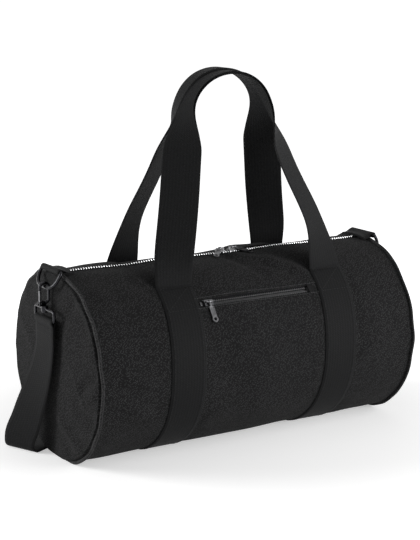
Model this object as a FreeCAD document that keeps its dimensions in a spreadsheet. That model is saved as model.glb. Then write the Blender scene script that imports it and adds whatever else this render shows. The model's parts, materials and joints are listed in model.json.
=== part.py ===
"""Barrel bag: a fabric tube with round ends, zips, webbing handles and a clip-on shoulder strap.

Millimetres.  X runs along the barrel, the pocket side faces -Y and Z is up.  The origin lies on the
floor under the middle of the barrel.
"""
import FreeCAD, Part
import Sketcher
import os
import re
from math import acos, asin, cos, degrees, radians, sin, sqrt
from types import SimpleNamespace

from FreeCAD import Placement, Rotation, Vector

# Driving sizes, in millimetres and degrees
SIZES = {
    # Barrel: one wrapped panel, two domed ends and the seams between them
    "barrel_length": 490,
    "barrel_radius": 125,
    "base_flat": 4,
    "axis_height": "=barrel_radius - base_flat",
    "wall": 2.4,
    "end_bulge": 6,
    "piping_width": 5,
    "piping_rise": 1.9,
    "piping_round": 1.5,
    "binding_depth": 8,
    "binding_thickness": 1.8,
    # Webbing sewn round the barrel
    "webbing_width": 50,
    "webbing_thickness": 1.6,
    "leg_offset": 119,
    "leave_angle": 34,
    # Carrying handles
    "handle_top": 493,
    "handle_thickness": 1.8,
    "grip_width": 26,
    "grip_thickness": 5,
    "grip_gap": 0.4,
    # Main zip along the top
    "zip_gap": 9,
    "tape_reach": 17,
    "tape_thickness": 0.8,
    "chain_sink": 0.2,
    "chain_inset": 11,
    "tooth_height": 3,
    "tooth_pitch": 3.7,
    "tooth_thickness": 1.6,
    "tooth_reach": 1.2,
    "parted_setback": 0.95,
    "bead_near": 1.4,
    "bead_far": 3.4,
    "stop_length": 3,
    "left_slider_place": 4,
    "right_slider_place": 24,
    # Sliders and pulls
    "slider_length": 13,
    "slider_nose_half": 4.6,
    "slider_tail_half": 4.2,
    "slider_plate": 1.2,
    "slider_gap": 0.25,
    "flange_width": 0.75,
    "flange_drop": 0.7,
    "post_half": 0.7,
    "post_length": 3,
    "post_inset": 0.8,
    "bridge_rise": 2.6,
    "bridge_radius": 1.1,
    "bridge_length": 12,
    "bridge_leg": 1.8,
    "pull_length": 29,
    "pull_width": 7,
    "pull_thickness": 1.5,
    "pull_end_radius": 4.2,
    "pull_hole_radius": 2.2,
    "pull_neck": 3,
    "pull_neck_length": 6.8,
    "pull_border": 1.1,
    "pull_recess": 0.4,
    "eye_radius": 2.2,
    "pull_rest_gap": 0.2,
    "left_pull_skew": -42,
    "right_pull_skew": 48,
    # Front pocket with its own zip
    "pocket_angle": 48.4,
    "pocket_left_gap": 6,
    "pocket_right_gap": 1,
    "pocket_left": "=webbing_width / 2 + pocket_left_gap - leg_offset",
    "pocket_right": "=leg_offset - webbing_width / 2 - pocket_right_gap",
    "window_half": 5.5,
    "pocket_tape_sink": 0.7,
    "pocket_tape_reach": 12,
    "pocket_tooth_height": 2.6,
    "pocket_tooth_pitch": 3,
    "pocket_tooth_thickness": 1.25,
    "pocket_tooth_reach": 1,
    "pocket_bead_near": 1.2,
    "pocket_bead_far": 2.9,
    "pocket_chain_inset": 8,
    "pocket_slider_inset": 16,
    "pocket_pull_dip": 6.5,
    "pocket_depth": 14,
    "pocket_top_angle": 38,
    "pocket_bottom_angle": 112,
    "pocket_margin": 5,
    "lining_thickness": 0.8,
    "welt_width": 5.6,
    "welt_thickness": 1.4,
    "end_tab_length": 8,
    "end_tab_thickness": 1.2,
    # D-rings in their webbing tabs
    "tab_length": 15,
    "ring_offset": 3,
    "ring_lean": 28,
    "ring_wire": 4.6,
    "ring_inside": "=webbing_width + loop_play",
    "ring_depth": 24,
    "ring_corner": 3.2,
    "ring_round": 18,
    # Swivel snap hooks
    "hook_wire_radius": 2,
    "hook_bow_radius": 6.2,
    "hook_shank": 14,
    "hook_bend_radius": 5,
    "hook_nose": 3,
    "lug_half": 3.6,
    "gate_half": 1.7,
    "gate_thickness": 2.6,
    "gate_slot_gap": 0.25,
    "pin_radius": 0.9,
    "pin_lift": 2,
    "boss_radius": 4.6,
    "boss_height": 7,
    "stem_head_radius": 3.6,
    "stem_head_height": 1.6,
    "base_wire_radius": 2,
    "base_inside": "=webbing_width + loop_play",
    "base_corner": 5,
    "base_drop": 14,
    # Shoulder strap
    "strap_end_length": 22,
    "strap_fold_radius": 9,
    "strap_out": 20,
    "strap_back": 46,
    "strap_run_gap": 9.6,
    "strap_lift": 3.4,
    "strap_lift_half": 95,
    "strap_ramp": 40,
    "adjuster_length": 34,
    "adjuster_bar": 5,
    "adjuster_rail": 4,
    "adjuster_thickness": 3,
    # Fits shared by all pieces
    "loop_play": 1,
    "seat_gap": 0.1,
    "fold_gap": 0.3,
    "pivot_clearance": 0.08,
    "overrun": 5,
}
# How the handle's centre line closes in along the barrel (of the leg offset) and towards the other handle
# (of the way from foot to crown) as it climbs (of its rise)
HANDLE_RISE_SHARES = (0, 0.07, 0.25, 0.43, 0.6, 0.72, 0.82, 0.9, 0.96, 1)
HANDLE_SPAN_SHARES = (1, 0.985, 0.905, 0.775, 0.665, 0.6, 0.54, 0.45, 0.31, 0)
HANDLE_CLOSE_SHARES = (0, 0.05, 0.2, 0.5, 0.8, 0.96, 1, 1, 1, 1)
# How far the handle has turned about its own line, in degrees, as it climbs (of its rise)
HANDLE_TURNS = (0, 30, 36, 50, 90, 90)
TURN_RISE_SHARES = (0, 0.2, 0.66, 0.8, 0.92, 1)
# Where the handle's fold to a narrow grip begins and ends, of its rise
FOLD_SHARES = (0.64, 0.84)
HANDLE_STATIONS = 28
STRAP_STATIONS = 6
FOLD_STATIONS = 4
# How far the strap has turned about Z, in degrees, where it folds on the floor
STRAP_TURN = 24
# How the floor run swings in behind the barrel: its turn in degrees, its place out from the ring (of the
# strap's width) and its place back (of the run's distance behind the axis)
RUN_TURNS = (50, 15, 0)
RUN_OUT_SHARES = (0.22, -0.42, -1.3)
RUN_BACK_SHARES = (0.68, 0.95, 1)

ALONG_X = Rotation(Vector(0, 1, 0), 90)
ALONG_Y = Rotation(Vector(1, 0, 0), -90)
ALONG_Z = Rotation()
X_AXIS, Y_AXIS, Z_AXIS = Vector(1, 0, 0), Vector(0, 1, 0), Vector(0, 0, 1)
SIDES = (("left", -1), ("right", 1))

doc = FreeCAD.newDocument("barrel_bag")
sheet = doc.addObject("Spreadsheet::Sheet", "Sizes")
for row, (alias, value) in enumerate(SIZES.items(), 1):
    sheet.set(f"A{row}", alias)
    sheet.set(f"B{row}", str(value))
    sheet.setAlias(f"B{row}", alias)
doc.recompute()
size = SimpleNamespace(**{alias: float(sheet.get(alias)) for alias in SIZES})
pieces = []


# Small makers, with every size bound to the sheet

def ref(text):
    """An expression written in plain size names, with each name pointed at its cell."""
    def cell(word):
        return f"Sizes.{word.group()}" if word.group() in SIZES else word.group()

    return re.sub(r"[a-z][a-z_]*", cell, str(text))


def bind(thing, **sizes):
    for name, text in sizes.items():
        thing.setExpression(name.replace("__", "."), ref(text))
    return thing


def keep(thing):
    """Count a finished object as one sub-part of the bag, under its own label."""
    pieces.append(thing)
    return thing


def at(thing, x, y, z):
    return bind(thing, Placement__Base__x=x, Placement__Base__y=y, Placement__Base__z=z)


def box(name, length, width, height, x, y, z):
    return at(bind(doc.addObject("Part::Box", name), Length=length, Width=width, Height=height), x, y, z)


def cylinder(name, radius, length, way, x, y, z):
    bar = doc.addObject("Part::Cylinder", name)
    bar.Placement = Placement(Vector(), way)
    return at(bind(bar, Radius=radius, Height=length), x, y, z)


def sector(name, radius, length, x, first_angle, sweep):
    """A slice of a cylinder on the barrel's axis; angles run from the top towards the front."""
    wedge = cylinder(name, radius, length, ALONG_X, x, "0", "axis_height")
    wedge.Placement.Rotation = ALONG_X.multiply(Rotation(Z_AXIS, 180 + first_angle))
    return bind(wedge, Angle=sweep)


def cut(name, base, *tools):
    for count, tool in enumerate(tools, 1):
        result = doc.addObject("Part::Cut", name if count == len(tools) else f"{name}_cut_{count}")
        result.Base, result.Tool = base, tool
        base = result
    return base


def common(name, base, tool):
    result = doc.addObject("Part::Common", name)
    result.Base, result.Tool = base, tool
    return result


def fuse(name, *shapes):
    result = doc.addObject("Part::MultiFuse", name)
    result.Shapes = list(shapes)
    return result


def group(name, *shapes):
    result = doc.addObject("Part::Compound", name)
    result.Links = list(shapes)
    return result


def solid(name, shape):
    thing = doc.addObject("Part::Feature", name)
    thing.Shape = shape
    return thing


def prism(name, points, way, length):
    """A flat outline pushed out along one axis."""
    outline = solid(name + "_outline", Part.makePolygon(points + points[:1]))
    body = doc.addObject("Part::Extrusion", name)
    body.Base, body.DirMode, body.Dir, body.Solid = outline, "Custom", way, True
    return bind(body, LengthFwd=length)


def bent_wire(name, edges, radius):
    """A round wire swept along straight runs and tangent arcs."""
    spine = solid(name + "_line", Part.Wire(edges))
    ring = doc.addObject("Part::Circle", name + "_section")
    ring.Placement = Placement(edges[0].valueAt(edges[0].FirstParameter),
                               Rotation(Z_AXIS, edges[0].tangentAt(edges[0].FirstParameter)))
    bind(ring, Radius=radius)
    sweep = doc.addObject("Part::Sweep", name)
    sweep.Sections = [ring]
    sweep.Spine = (spine, [f"Edge{count}" for count in range(1, len(edges) + 1)])
    sweep.Solid = True
    return sweep


def line(start, end):
    return Part.LineSegment(start, end).toShape()


def arc(start, middle, end):
    return Part.Arc(start, middle, end).toShape()


def band(name, stations):
    """A flat strap through stations of (centre, width direction, thickness direction, width, thickness)."""
    wires = []
    for centre, across, through, width, thickness in stations:
        half, skin = across * (width / 2), through * (thickness / 2)
        corners = [centre - half - skin, centre + half - skin, centre + half + skin, centre - half + skin]
        wires.append(Part.makePolygon(corners + corners[:1]))
    return solid(name, Part.makeLoft(wires, True, True))


def smooth(value, first, last):
    share = min(max((value - first) / (last - first), 0), 1)
    return share * share * (3 - 2 * share)


def between(value, places, levels):
    """Straight-line interpolation in a short table."""
    for first, last, low, high in zip(places, places[1:], levels, levels[1:]):
        if value <= last:
            return low + (high - low) * (value - first) / (last - first)
    return levels[-1]


# Barrel shell

def barrel(name, radius, floor, length, x):
    """The barrel's section as a solid block: a cylinder along X, cut flat at a floor height."""
    drum = cylinder(name + "_round", radius, length, ALONG_X, x, "0", "axis_height")
    above = box(name + "_above", length, f"2 * ({radius})", f"axis_height + {radius}",
                x, f"-({radius})", floor)
    return common(name, drum, above)


PANEL_LENGTH = "(barrel_length - 2 * piping_width)"
PANEL_INSIDE = "(barrel_radius - wall)"
THROUGH_LENGTH = f"({PANEL_LENGTH} + 2 * overrun)"
THROUGH_START = f"-{THROUGH_LENGTH} / 2"


def make_body_panel():
    outside = barrel("panel_outside", "barrel_radius", "0", PANEL_LENGTH, f"-{PANEL_LENGTH} / 2")
    inside = barrel("panel_inside", PANEL_INSIDE, "wall", THROUGH_LENGTH, THROUGH_START)
    mouth = box("zip_mouth", THROUGH_LENGTH, "2 * zip_gap", "barrel_radius + overrun",
                THROUGH_START, "-zip_gap", "axis_height")
    window = doc.addObject("Part::Box", "pocket_window")
    window.Placement.Rotation = Rotation(X_AXIS, size.pocket_angle)
    bind(window, Length="pocket_right - pocket_left", Width="2 * window_half", Height="wall + 2 * overrun")
    depth = "(barrel_radius - wall - overrun)"
    at(window, "pocket_left", f"-{depth} * sin(pocket_angle) - window_half * cos(pocket_angle)",
       f"axis_height + {depth} * cos(pocket_angle) - window_half * sin(pocket_angle)")
    grooves = [box(f"{name}_strap_groove", "webbing_width", "2 * barrel_radius",
                   "webbing_thickness + overrun", f"{side} * leg_offset - webbing_width / 2",
                   "-barrel_radius", "-overrun")
               for name, side in SIDES]
    keep(cut("body_panel", outside, inside, mouth, window, *grooves))


def make_end(name, side):
    """A round end: domed panel, seam piping and the bound seam inside."""
    dome = "((barrel_radius ^ 2 + end_bulge ^ 2) / (2 * end_bulge))"
    skins = []
    for skin, inward in (("outside", "0"), ("inside", "wall")):
        ball = bind(doc.addObject("Part::Sphere", f"{name}_end_{skin}"), Radius=dome)
        skins.append(at(ball, f"{side} * (barrel_length / 2 + wall + end_bulge - {dome} - {inward})",
                        "0", "axis_height"))
    depth = "(end_bulge + wall + overrun)"
    start = "barrel_length / 2" if side > 0 else f"-barrel_length / 2 - {depth}"
    trim = barrel(f"{name}_end_trim", "barrel_radius", "0", depth, start)
    keep(common(f"{name}_end_panel", cut(f"{name}_end_dome", *skins), trim))

    start = "barrel_length / 2 - piping_width" if side > 0 else "-barrel_length / 2"
    rope = barrel(f"{name}_piping_outside", "(barrel_radius + piping_rise)", "0", "piping_width", start)
    bore = barrel(f"{name}_piping_inside", PANEL_INSIDE, "wall", "(piping_width + 2 * overrun)",
                  f"{start} - overrun")
    ring = cut(f"{name}_piping_ring", rope, bore)
    doc.recompute()
    outer = size.barrel_radius + size.piping_rise
    rims = [count for count, edge in enumerate(ring.Shape.Edges, 1)
            if isinstance(edge.Curve, Part.Circle) and abs(edge.Curve.Radius - outer) < size.seat_gap]
    piping = keep(doc.addObject("Part::Fillet", f"{name}_end_piping"))
    piping.Base = ring
    piping.Edges = [(count, size.piping_round, size.piping_round) for count in rims]

    start = f"{side} * (barrel_length - piping_width) / 2 - binding_thickness / 2"
    fin = barrel(f"{name}_binding_outside", PANEL_INSIDE, "wall", "binding_thickness", start)
    core = barrel(f"{name}_binding_inside", f"({PANEL_INSIDE} - binding_depth)", "(wall + binding_depth)",
                  "(binding_thickness + 2 * overrun)", f"{start} - overrun")
    keep(cut(f"{name}_seam_binding", fin, core))


def make_body_strap(name, side):
    """Webbing sewn down the front, under the floor and up the back, flush with the base."""
    start = f"{side} * leg_offset - webbing_width / 2"
    reach = "(barrel_radius + webbing_thickness)"
    wrap = sector(f"{name}_strap_wrap", reach, "webbing_width", start, size.leave_angle,
                  "360 - 2 * leave_angle")
    above = box(f"{name}_strap_above", "webbing_width", f"2 * {reach}", f"axis_height + {reach}",
                start, f"-{reach}", "0")
    core = barrel(f"{name}_strap_core", "barrel_radius", "webbing_thickness",
                  "(webbing_width + 2 * overrun)", f"{start} - overrun")
    keep(cut(f"{name}_body_strap", common(f"{name}_strap_loop", wrap, above), core))


# Carrying handles

def make_handle(name, side):
    """A webbing arch: wide legs that turn a quarter and fold lengthways into a narrow grip."""
    swing = size.barrel_radius + size.webbing_thickness + size.fold_gap + size.handle_thickness / 2
    leave = radians(size.leave_angle)
    foot = Vector(0, side * swing * sin(leave), size.axis_height + swing * cos(leave))
    crown = Vector(0, side * (size.grip_width / 2 + size.grip_gap), size.handle_top)
    left_leg = [Vector(-span * size.leg_offset, foot.y + (crown.y - foot.y) * close,
                       foot.z + (crown.z - foot.z) * rise)
                for span, close, rise in zip(HANDLE_SPAN_SHARES, HANDLE_CLOSE_SHARES, HANDLE_RISE_SHARES)]
    right_leg = [Vector(-point.x, point.y, point.z) for point in reversed(left_leg[:-1])]
    curve = Part.BSplineCurve()
    curve.interpolate(left_leg + right_leg)
    stations = []
    for count in range(HANDLE_STATIONS + 1):
        place = curve.LastParameter * count / HANDLE_STATIONS
        centre, along = curve.value(place), curve.tangent(place)[0]
        rise = (centre.z - foot.z) / (crown.z - foot.z)
        turn = radians(between(rise, TURN_RISE_SHARES, HANDLE_TURNS))
        fold = smooth(rise, *FOLD_SHARES)
        lead = 1 if centre.x < 0 else -1
        across = Vector(lead * cos(turn), side * sin(turn), 0)
        through = along.cross(across).normalize()
        stations.append((centre, across, through,
                         size.webbing_width + fold * (size.grip_width - size.webbing_width),
                         size.handle_thickness + fold * (size.grip_thickness - size.handle_thickness)))
    keep(band(name, stations))


# Zips, each made in a flat frame: x along the chain, y across it, z out of the cloth

def zip_frame(angle):
    """The frame on the barrel's skin, at an angle from the top towards the front."""
    lean = radians(angle)
    seat = Vector(0, -size.barrel_radius * sin(lean), size.axis_height + size.barrel_radius * cos(lean))
    return Placement(seat, Rotation(X_AXIS, angle))


def chain(name, frame, side, ends, level, tooth, parted):
    """One row of teeth on its bead: a comb whose teeth stand between those of the other row."""
    first, last = ends
    gap_first, gap_last = parted
    phase = tooth.pitch / 4 * side
    row = [Vector(first, side * tooth.far, level), Vector(last, side * tooth.far, level),
           Vector(last, side * tooth.near, level)]
    count = int((last - first) / tooth.pitch) - 1
    middle = (first + last) / 2
    for step in range(count, -1, -1):
        place = middle + (step - count / 2) * tooth.pitch + phase
        if place < first + tooth.thickness or place > last - tooth.thickness:
            continue
        pulled_back = gap_first < place < gap_last
        tip = side * size.parted_setback if pulled_back else -side * tooth.reach
        root = side * tooth.near
        for edge, y in ((1, root), (1, tip), (-1, tip), (-1, root)):
            row.append(Vector(place + edge * tooth.thickness / 2, y, level))
    row.append(Vector(first, side * tooth.near, level))
    comb = prism(name, row, Z_AXIS, tooth.height_name)
    comb.Placement = frame
    return keep(comb)


MAIN_TOOTH = SimpleNamespace(pitch=size.tooth_pitch, thickness=size.tooth_thickness, reach=size.tooth_reach,
                             near=size.bead_near, far=size.bead_far, height=size.tooth_height,
                             height_name="tooth_height")
POCKET_TOOTH = SimpleNamespace(pitch=size.pocket_tooth_pitch, thickness=size.pocket_tooth_thickness,
                               reach=size.pocket_tooth_reach, near=size.pocket_bead_near,
                               far=size.pocket_bead_far, height=size.pocket_tooth_height,
                               height_name="pocket_tooth_height")
MAIN_FRAME = zip_frame(0)
POCKET_FRAME = zip_frame(size.pocket_angle)


def pad(body, name, points, level, height):
    """A closed polygon at a level above the body's XY plane, raised by a bound height."""
    sketch = body.newObject("Sketcher::SketchObject", name + "_sketch")
    plane = [item for item in body.Origin.OriginFeatures if item.Role == "XY_Plane"][0]
    sketch.AttachmentSupport = [(plane, "")]
    sketch.MapMode = "FlatFace"
    sketch.AttachmentOffset = Placement(Vector(0, 0, level), Rotation())
    corners = [Vector(x, y, 0) for x, y in points]
    sides = len(corners)
    sketch.addGeometry([Part.LineSegment(corners[n], corners[(n + 1) % sides]) for n in range(sides)])
    for n in range(sides):
        sketch.addConstraint(Sketcher.Constraint("Coincident", n, 2, (n + 1) % sides, 1))
    block = body.newObject("PartDesign::Pad", name)
    block.Profile = sketch
    bind(block, Length=height)
    doc.recompute()
    return block


def rectangle(first_x, last_x, first_y, last_y):
    return [(first_x, first_y), (last_x, first_y), (last_x, last_y), (first_x, last_y)]


def make_slider(name, frame, place, nose, tooth, level):
    """A zip slider: two tapered plates round the chain, joined by the wedge post, with a pull bridge.

    nose is the end that parts the teeth: 1 towards +x, -1 towards -x.
    """
    half = size.slider_length / 2
    plan = [(-nose * half, -size.slider_tail_half), (nose * half, -size.slider_nose_half),
            (nose * half, size.slider_nose_half), (-nose * half, size.slider_tail_half)]
    if nose < 0:
        plan.reverse()
    floor = level - size.slider_gap - size.slider_plate
    roof = level + tooth.height + size.slider_gap
    inner = roof - floor - size.slider_plate
    body = doc.addObject("PartDesign::Body", name + "_plates")
    pad(body, name + "_lower_plate", plan, floor, "slider_plate")
    rail = (size.slider_tail_half - size.flange_width, size.slider_tail_half)
    for row in (-1, 1):
        edges = sorted((row * rail[0], row * rail[1]))
        pad(body, f"{name}_lower_flange_{row + 1}", rectangle(-half, half, *edges),
            floor + size.slider_plate, "flange_drop")
    post = sorted(nose * (half - size.post_inset - run) for run in (0, size.post_length))
    pad(body, name + "_post", rectangle(*post, -size.post_half, size.post_half),
        floor + size.slider_plate, str(inner))
    pad(body, name + "_upper_plate", plan, roof, "slider_plate")
    for row in (-1, 1):
        edges = sorted((row * rail[0], row * rail[1]))
        pad(body, f"{name}_upper_flange_{row + 1}", rectangle(-half, half, *edges),
            roof - size.flange_drop, "flange_drop")
    top = roof + size.slider_plate
    for end in (-1, 1):
        run = sorted((end * size.bridge_length / 2, end * (size.bridge_length / 2 - size.bridge_leg)))
        pad(body, f"{name}_bridge_leg_{end + 1}",
            rectangle(*run, -size.bridge_radius, size.bridge_radius), top, "bridge_rise + bridge_radius")
    shell = cylinder(name + "_bridge_bar", "bridge_radius", "bridge_length", ALONG_X,
                     "-bridge_length / 2", "0", str(top + size.bridge_rise))
    whole = keep(fuse(name, body, shell))
    whole.Placement = frame.multiply(Placement(Vector(place, 0, 0), Rotation()))
    return top + size.bridge_rise


def make_pull(name, frame, place, lift, dip, skew):
    """A zip pull: an eye round the bridge bar and a flat recessed tab with a ring end."""
    swing = Rotation(Z_AXIS, skew)
    reach = "(pull_length - pull_end_radius)"
    skin = "-pull_thickness / 2"
    neck = box(name + "_neck", "pull_neck", "pull_length / 2", "pull_thickness", "-pull_neck / 2",
               "-pull_length / 2", skin)
    tab = box(name + "_tab", "pull_width", f"{reach} - pull_neck_length", "pull_thickness", "-pull_width / 2",
              f"-{reach}", skin)
    end = cylinder(name + "_end", "pull_end_radius", "pull_thickness", ALONG_Z, "0", f"-{reach}", skin)
    hole = cylinder(name + "_hole", "pull_hole_radius", "pull_thickness + 2 * overrun", ALONG_Z, "0",
                    f"-{reach}", "-overrun")
    recess = box(name + "_recess", "pull_width - 2 * pull_border",
                 f"{reach} - pull_neck_length - pull_end_radius - 2 * pull_border", "pull_recess + overrun",
                 "pull_border - pull_width / 2", f"-{reach} + pull_end_radius + pull_border",
                 "pull_thickness / 2 - pull_recess")
    flat = cut(name + "_flat", fuse(name + "_blank", neck, tab, end), hole, recess)
    flat.Placement = Placement(Vector(), swing)
    eye = cylinder(name + "_eye", "eye_radius", "pull_neck", ALONG_X, "-pull_neck / 2", "0", "0")
    bore = cylinder(name + "_bore", "bridge_radius + pivot_clearance", "pull_neck + 2 * overrun", ALONG_X,
                    "-pull_neck / 2 - overrun", "0", "0")
    pull = keep(cut(name, fuse(name + "_joined", flat, eye), bore))
    pull.Placement = frame.multiply(Placement(Vector(place, 0, lift), Rotation(X_AXIS, dip)))


def rest_dip(lift, skew):
    """The swing, in degrees, that lays the end of a skewed pull on the barrel."""
    reach = (size.pull_length - size.pull_end_radius) * cos(radians(skew)) + size.pull_end_radius
    pivot = size.barrel_radius + lift
    skin = size.barrel_radius + size.pull_thickness / 2 + size.pull_rest_gap
    return degrees(asin((reach ** 2 + pivot ** 2 - skin ** 2) / (2 * pivot * reach)))


def make_main_zip():
    end = size.barrel_length / 2 - size.piping_width - size.chain_inset
    level = -size.chain_sink - size.tooth_height / 2
    half_slider = size.slider_length / 2
    parted = (size.left_slider_place + half_slider - size.post_inset - size.post_length - size.tooth_pitch,
              size.right_slider_place - half_slider + size.post_inset + size.post_length + size.tooth_pitch)
    inside = size.barrel_radius - size.wall
    upper = [(reach, sqrt(inside ** 2 - reach ** 2) - size.barrel_radius)
             for reach in (size.tape_reach, size.zip_gap)]
    upper.append((size.bead_far, size.tape_thickness / 2 - size.chain_sink))
    lower = [(y, z - size.tape_thickness) for y, z in reversed(upper)]
    start = -size.barrel_length / 2 + size.piping_width
    for name, side in (("front", -1), ("back", 1)):
        section = [Vector(start, side * y, z) for y, z in upper + lower]
        tape = prism(f"main_zip_{name}_tape", section, X_AXIS, PANEL_LENGTH)
        tape.Placement = MAIN_FRAME
        keep(tape)
        chain(f"main_zip_{name}_teeth", MAIN_FRAME, side, (-end, end), level, MAIN_TOOTH, parted)
    stops = group("main_zip_end_stops", *[
        box(f"main_zip_{name}_stop", "stop_length", "2 * (bead_far - seat_gap)", "tooth_height",
            str(end if side > 0 else -end - size.stop_length), "seat_gap - bead_far", str(level))
        for name, side in SIDES])
    stops.Placement = MAIN_FRAME
    keep(stops)
    for name, place, nose, skew in (("left", size.left_slider_place, 1, size.left_pull_skew),
                                    ("right", size.right_slider_place, -1, size.right_pull_skew)):
        lift = make_slider(f"main_zip_{name}_slider", MAIN_FRAME, place, nose, MAIN_TOOTH, level)
        make_pull(f"main_zip_{name}_pull", MAIN_FRAME, place, lift, rest_dip(lift, skew), skew)


def patch(name, thickness, start, length, first_angle, sweep):
    """A strip of cloth laid on the barrel's skin."""
    slab = sector(f"{name}_slab", f"barrel_radius + {thickness}", length, start, first_angle, str(sweep))
    core = cylinder(f"{name}_core", "barrel_radius", f"{length} + 2 * overrun", ALONG_X,
                    f"{start} - overrun", "0", "axis_height")
    keep(cut(name, slab, core))


def make_pocket():
    """The slit pocket: welt, its own zip, a sewn end tab and the pouch hung inside the front."""
    first, last = size.pocket_left + size.pocket_chain_inset, size.pocket_right - size.pocket_chain_inset
    place = first + size.pocket_slider_inset - size.slider_length / 2
    skin = -size.wall - size.pocket_tape_sink
    level = skin - size.tape_thickness / 2 - size.pocket_tooth_height / 2
    nose_end = place - size.slider_length / 2 + size.post_inset + size.post_length
    parted = (first - size.pocket_tooth_pitch, nose_end + size.pocket_tooth_pitch)
    for name, side in (("lower", -1), ("upper", 1)):
        edges = sorted((side * size.pocket_bead_far, side * size.pocket_tape_reach))
        section = [Vector(size.pocket_left, y, z)
                   for y, z in rectangle(*edges, skin - size.tape_thickness, skin)]
        tape = prism(f"pocket_zip_{name}_tape", section, X_AXIS, "pocket_right - pocket_left")
        tape.Placement = POCKET_FRAME
        keep(tape)
        chain(f"pocket_zip_{name}_teeth", POCKET_FRAME, side, (first, last), level, POCKET_TOOTH, parted)
    stops = group("pocket_zip_stops", *[
        box(f"pocket_zip_{name}_stop", "stop_length", "2 * (pocket_bead_far - seat_gap)",
            "pocket_tooth_height", str(last if side > 0 else first - size.stop_length),
            "seat_gap - pocket_bead_far", str(level))
        for name, side in SIDES])
    stops.Placement = POCKET_FRAME
    keep(stops)
    lift = make_slider("pocket_zip_slider", POCKET_FRAME, place, -1, POCKET_TOOTH, level)
    make_pull("pocket_zip_pull", POCKET_FRAME, place, lift, size.pocket_pull_dip, 0)
    slit = degrees(size.window_half / size.barrel_radius)
    wide = degrees(size.welt_width / size.barrel_radius)
    upper_edge = size.pocket_angle - slit
    patch("pocket_welt", "welt_thickness", "pocket_left", "pocket_right - pocket_left",
          upper_edge - wide, wide)
    patch("pocket_zip_end_tab", "end_tab_thickness", "pocket_right - end_tab_length", "end_tab_length",
          upper_edge, 2 * slit + wide / 2)
    sweep = "(pocket_bottom_angle - pocket_top_angle)"
    width = "(pocket_right - pocket_left + 2 * pocket_margin)"
    start = "pocket_left - pocket_margin"
    block = sector("pouch_block", PANEL_INSIDE, width, start, size.pocket_top_angle, sweep)
    core = cylinder("pouch_core", f"{PANEL_INSIDE} - pocket_depth", f"{width} + 2 * overrun", ALONG_X,
                    f"{start} - overrun", "0", "axis_height")
    inset = degrees(size.lining_thickness / size.barrel_radius)
    hollow = sector("pouch_hollow", f"{PANEL_INSIDE} + overrun", f"{width} - 2 * lining_thickness",
                    f"{start} + lining_thickness", size.pocket_top_angle + inset, f"{sweep} - {2 * inset}")
    floor = cylinder("pouch_floor", f"{PANEL_INSIDE} - pocket_depth + lining_thickness",
                     f"{width} + 2 * overrun", ALONG_X, f"{start} - overrun", "0", "axis_height")
    keep(cut("pocket_lining", block, core, cut("pouch_space", hollow, floor)))


# D-rings, hooks and the shoulder strap, one set at each end

def ring_numbers():
    """Heights and places that the ring, hook and strap share."""
    loop = size.ring_wire / 2 + size.pivot_clearance + size.webbing_thickness
    deck = size.axis_height + size.barrel_radius + size.piping_rise + size.seat_gap
    bar = size.axis_height + size.barrel_radius + size.seat_gap + loop
    reach = size.barrel_length / 2 + size.ring_offset
    half = (size.ring_inside + size.ring_wire) / 2
    lean = radians(size.ring_lean)
    low = bar - size.ring_depth * cos(lean)
    bow = low + size.ring_wire / 2 + size.fold_gap - (size.hook_bow_radius - size.hook_wire_radius)
    shank = bow - size.hook_shank
    bend = acos(1 - size.hook_bow_radius / (2 * size.hook_bend_radius))
    stem = shank - 2 * size.hook_bend_radius * sin(bend)
    beam = stem - size.fold_gap - size.boss_height / 2
    foot = beam - size.base_drop
    return SimpleNamespace(deck=deck, bar=bar, half=half, bow=bow, shank=shank, bend=bend, stem=stem,
                           beam=beam, foot=foot, reach=reach, hang=reach + size.ring_depth * sin(lean))


RING = ring_numbers()


def webbing_loop(name, x, z, bore_radius, plate):
    """Webbing folded round a bar that runs along Y, with its two layers sewn flat as a plate."""
    wrap = cylinder(name + "_wrap", f"{bore_radius} + webbing_thickness", "webbing_width", ALONG_Y,
                    str(x), "-webbing_width / 2", str(z))
    bore = cylinder(name + "_bore", bore_radius, "webbing_width + 2 * overrun", ALONG_Y,
                    str(x), "-webbing_width / 2 - overrun", str(z))
    return cut(name, fuse(name + "_folded", wrap, plate), bore)


def make_ring(name, side):
    """A webbing tab folded over the end seam, and the D-ring in it, leaning out over the end's rim."""
    x = side * RING.reach
    inner = size.barrel_length / 2 - size.tab_length
    plate = box(f"{name}_tab_plate", "tab_length + ring_offset", "webbing_width", "2 * webbing_thickness",
                str(inner if side > 0 else x), "-webbing_width / 2", str(RING.deck))
    keep(webbing_loop(f"{name}_ring_tab", x, RING.bar, "(ring_wire / 2 + pivot_clearance)", plate))
    half, corner, bend = RING.half, size.ring_corner, size.ring_round
    high, low = RING.bar, RING.bar - size.ring_depth
    nip, dip = corner * (1 - sqrt(0.5)), bend * (1 - sqrt(0.5))

    def spot(y, z):
        return Vector(x, y, z)

    edges = [
        line(spot(corner - half, high), spot(half - corner, high)),
        arc(spot(half - corner, high), spot(half - nip, high - nip), spot(half, high - corner)),
        line(spot(half, high - corner), spot(half, low + bend)),
        arc(spot(half, low + bend), spot(half - dip, low + dip), spot(half - bend, low)),
        line(spot(half - bend, low), spot(bend - half, low)),
        arc(spot(bend - half, low), spot(dip - half, low + dip), spot(-half, low + bend)),
        line(spot(-half, low + bend), spot(-half, high - corner)),
        arc(spot(-half, high - corner), spot(nip - half, high - nip), spot(corner - half, high)),
    ]
    ring = keep(bent_wire(f"{name}_d_ring", edges, "ring_wire / 2"))
    ring.Placement = Placement(Vector(), Rotation(Y_AXIS, -side * size.ring_lean), spot(0, high))


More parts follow.
